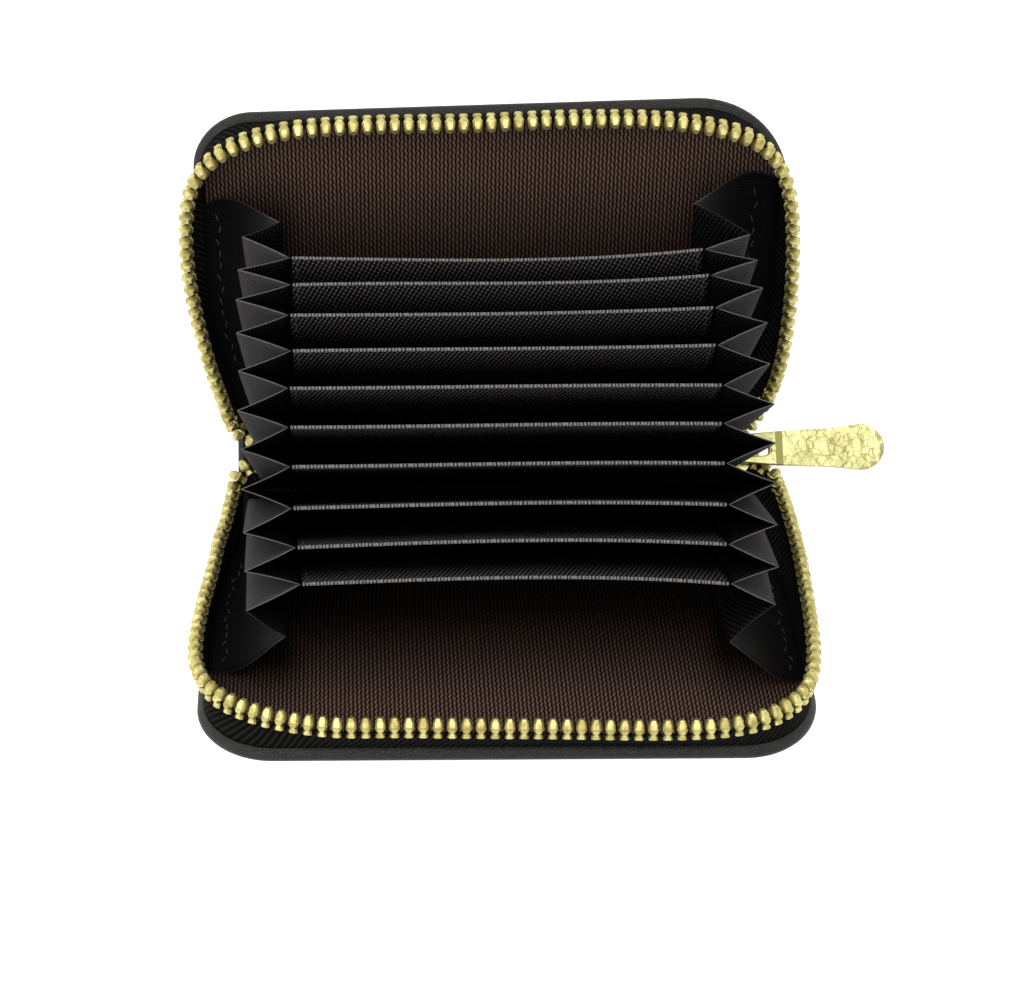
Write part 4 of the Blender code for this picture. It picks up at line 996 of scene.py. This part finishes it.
width = np.linalg.norm(outline - slot_edge, axis=1, keepdims=True)
inset = np.clip(TAB_ROUND / width, 0, 0.3)
levels = [(0 * inset, TAB_HIGH - TAB_ROUND), (0.3 * inset, TAB_HIGH - 0.3 * TAB_ROUND), (inset, TAB_HIGH)]
levels += [(inset + (1 - 2 * inset) * t, TAB_HIGH) for t in np.linspace(0, 1, 30)[1:]]
levels += [(1 - 0.3 * inset, TAB_HIGH - 0.3 * TAB_ROUND), (1 + 0 * inset, TAB_HIGH - TAB_ROUND)]
levels += [(1 + 0 * inset, TAB_LOW + TAB_ROUND), (1 - inset, TAB_LOW), (0.5 + 0 * inset, TAB_LOW)]
levels += [(inset, TAB_LOW), (0 * inset, TAB_LOW + TAB_ROUND)]
rings = [np.hstack([slot_edge + (outline - slot_edge) * share, np.full((len(outline), 1), up)]) for share, up in levels]
points = np.stack(rings, axis=1) + [0, TAB_MIDDLE, 0]
faces = grid_faces(len(outline), len(levels), wrap=True)
closing = np.stack([np.arange(len(levels)), (np.arange(len(levels)) + 1) % len(levels)], axis=-1)
seam_faces = np.hstack([closing + len(levels) * (len(outline) - 1), closing[:, ::-1]])
tab = make_piece("pull_tab_plate", points, np.vstack([faces, seam_faces]), hammered_gold)
tab.data.set_sharp_from_angle(angle=np.radians(50))
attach(tab, "pull_tab")
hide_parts("pull_tab")


# ---- Light ----
# A broad soft box overhead, a weak one at the side and a pale world, as for a catalogue picture on white.
def seen_rays(tree):
    """One for the rays that show a surface in the picture, straight or by a reflection, and nought for the rest."""
    rays = place_node(tree, "LightPath").outputs
    seen = calculate(tree, "MAXIMUM", rays["Is Camera Ray"], rays["Is Glossy Ray"])
    return calculate(tree, "MAXIMUM", seen, rays["Is Transmission Ray"])


def soft_box(name, place, aim, size, power):
    """A square area light at place, turned to aim."""
    data = bpy.data.lights.new(name, "AREA")
    data.shape = "SQUARE"
    data.size = size
    data.energy = power
    lamp = bpy.data.objects.new(name, data)
    bpy.context.scene.collection.objects.link(lamp)
    lamp.location = place
    lamp.rotation_mode = "QUATERNION"
    lamp.rotation_quaternion = (Vector(aim) - Vector(place)).to_track_quat("-Z", "Y")


world = bpy.data.worlds.new("white_room")
bpy.context.scene.world = world
world.use_nodes = True
tree = world.node_tree
ground = tree.nodes["Background"]
ground.inputs["Color"].default_value = (1, 1, 1, 1)
tree.links.new(remap(tree, seen_rays(tree), 0.45, 1.0), ground.inputs["Strength"])
soft_box("overhead", (-0.20, 0.15, 0.95), (0, 0, 0.03), 1.5, 10.0)
soft_box("side_fill", (-0.65, -0.40, 0.55), (0, 0, 0.03), 0.80, 1.8)

FLOOR_HALF = 3.0
corners = [(x * FLOOR_HALF, y * FLOOR_HALF, 0) for x, y in ((-1, -1), (1, -1), (1, 1), (-1, 1))]
floor_white, tree, shader = plain_material("floor_white", (0.85, 0.85, 0.85), 0.9, specular=0.0)
glow = place_node(tree, "Emission", {"Strength": calculate(tree, "MULTIPLY", seen_rays(tree), 0.7)})
both = place_node(tree, "AddShader", {0: shader.outputs[0], 1: glow.outputs[0]})
tree.links.new(both.outputs[0], tree.nodes["Material Output"].inputs["Surface"])
floor = make_piece("floor", corners, [(0, 1, 2, 3)], floor_white, smooth=False)
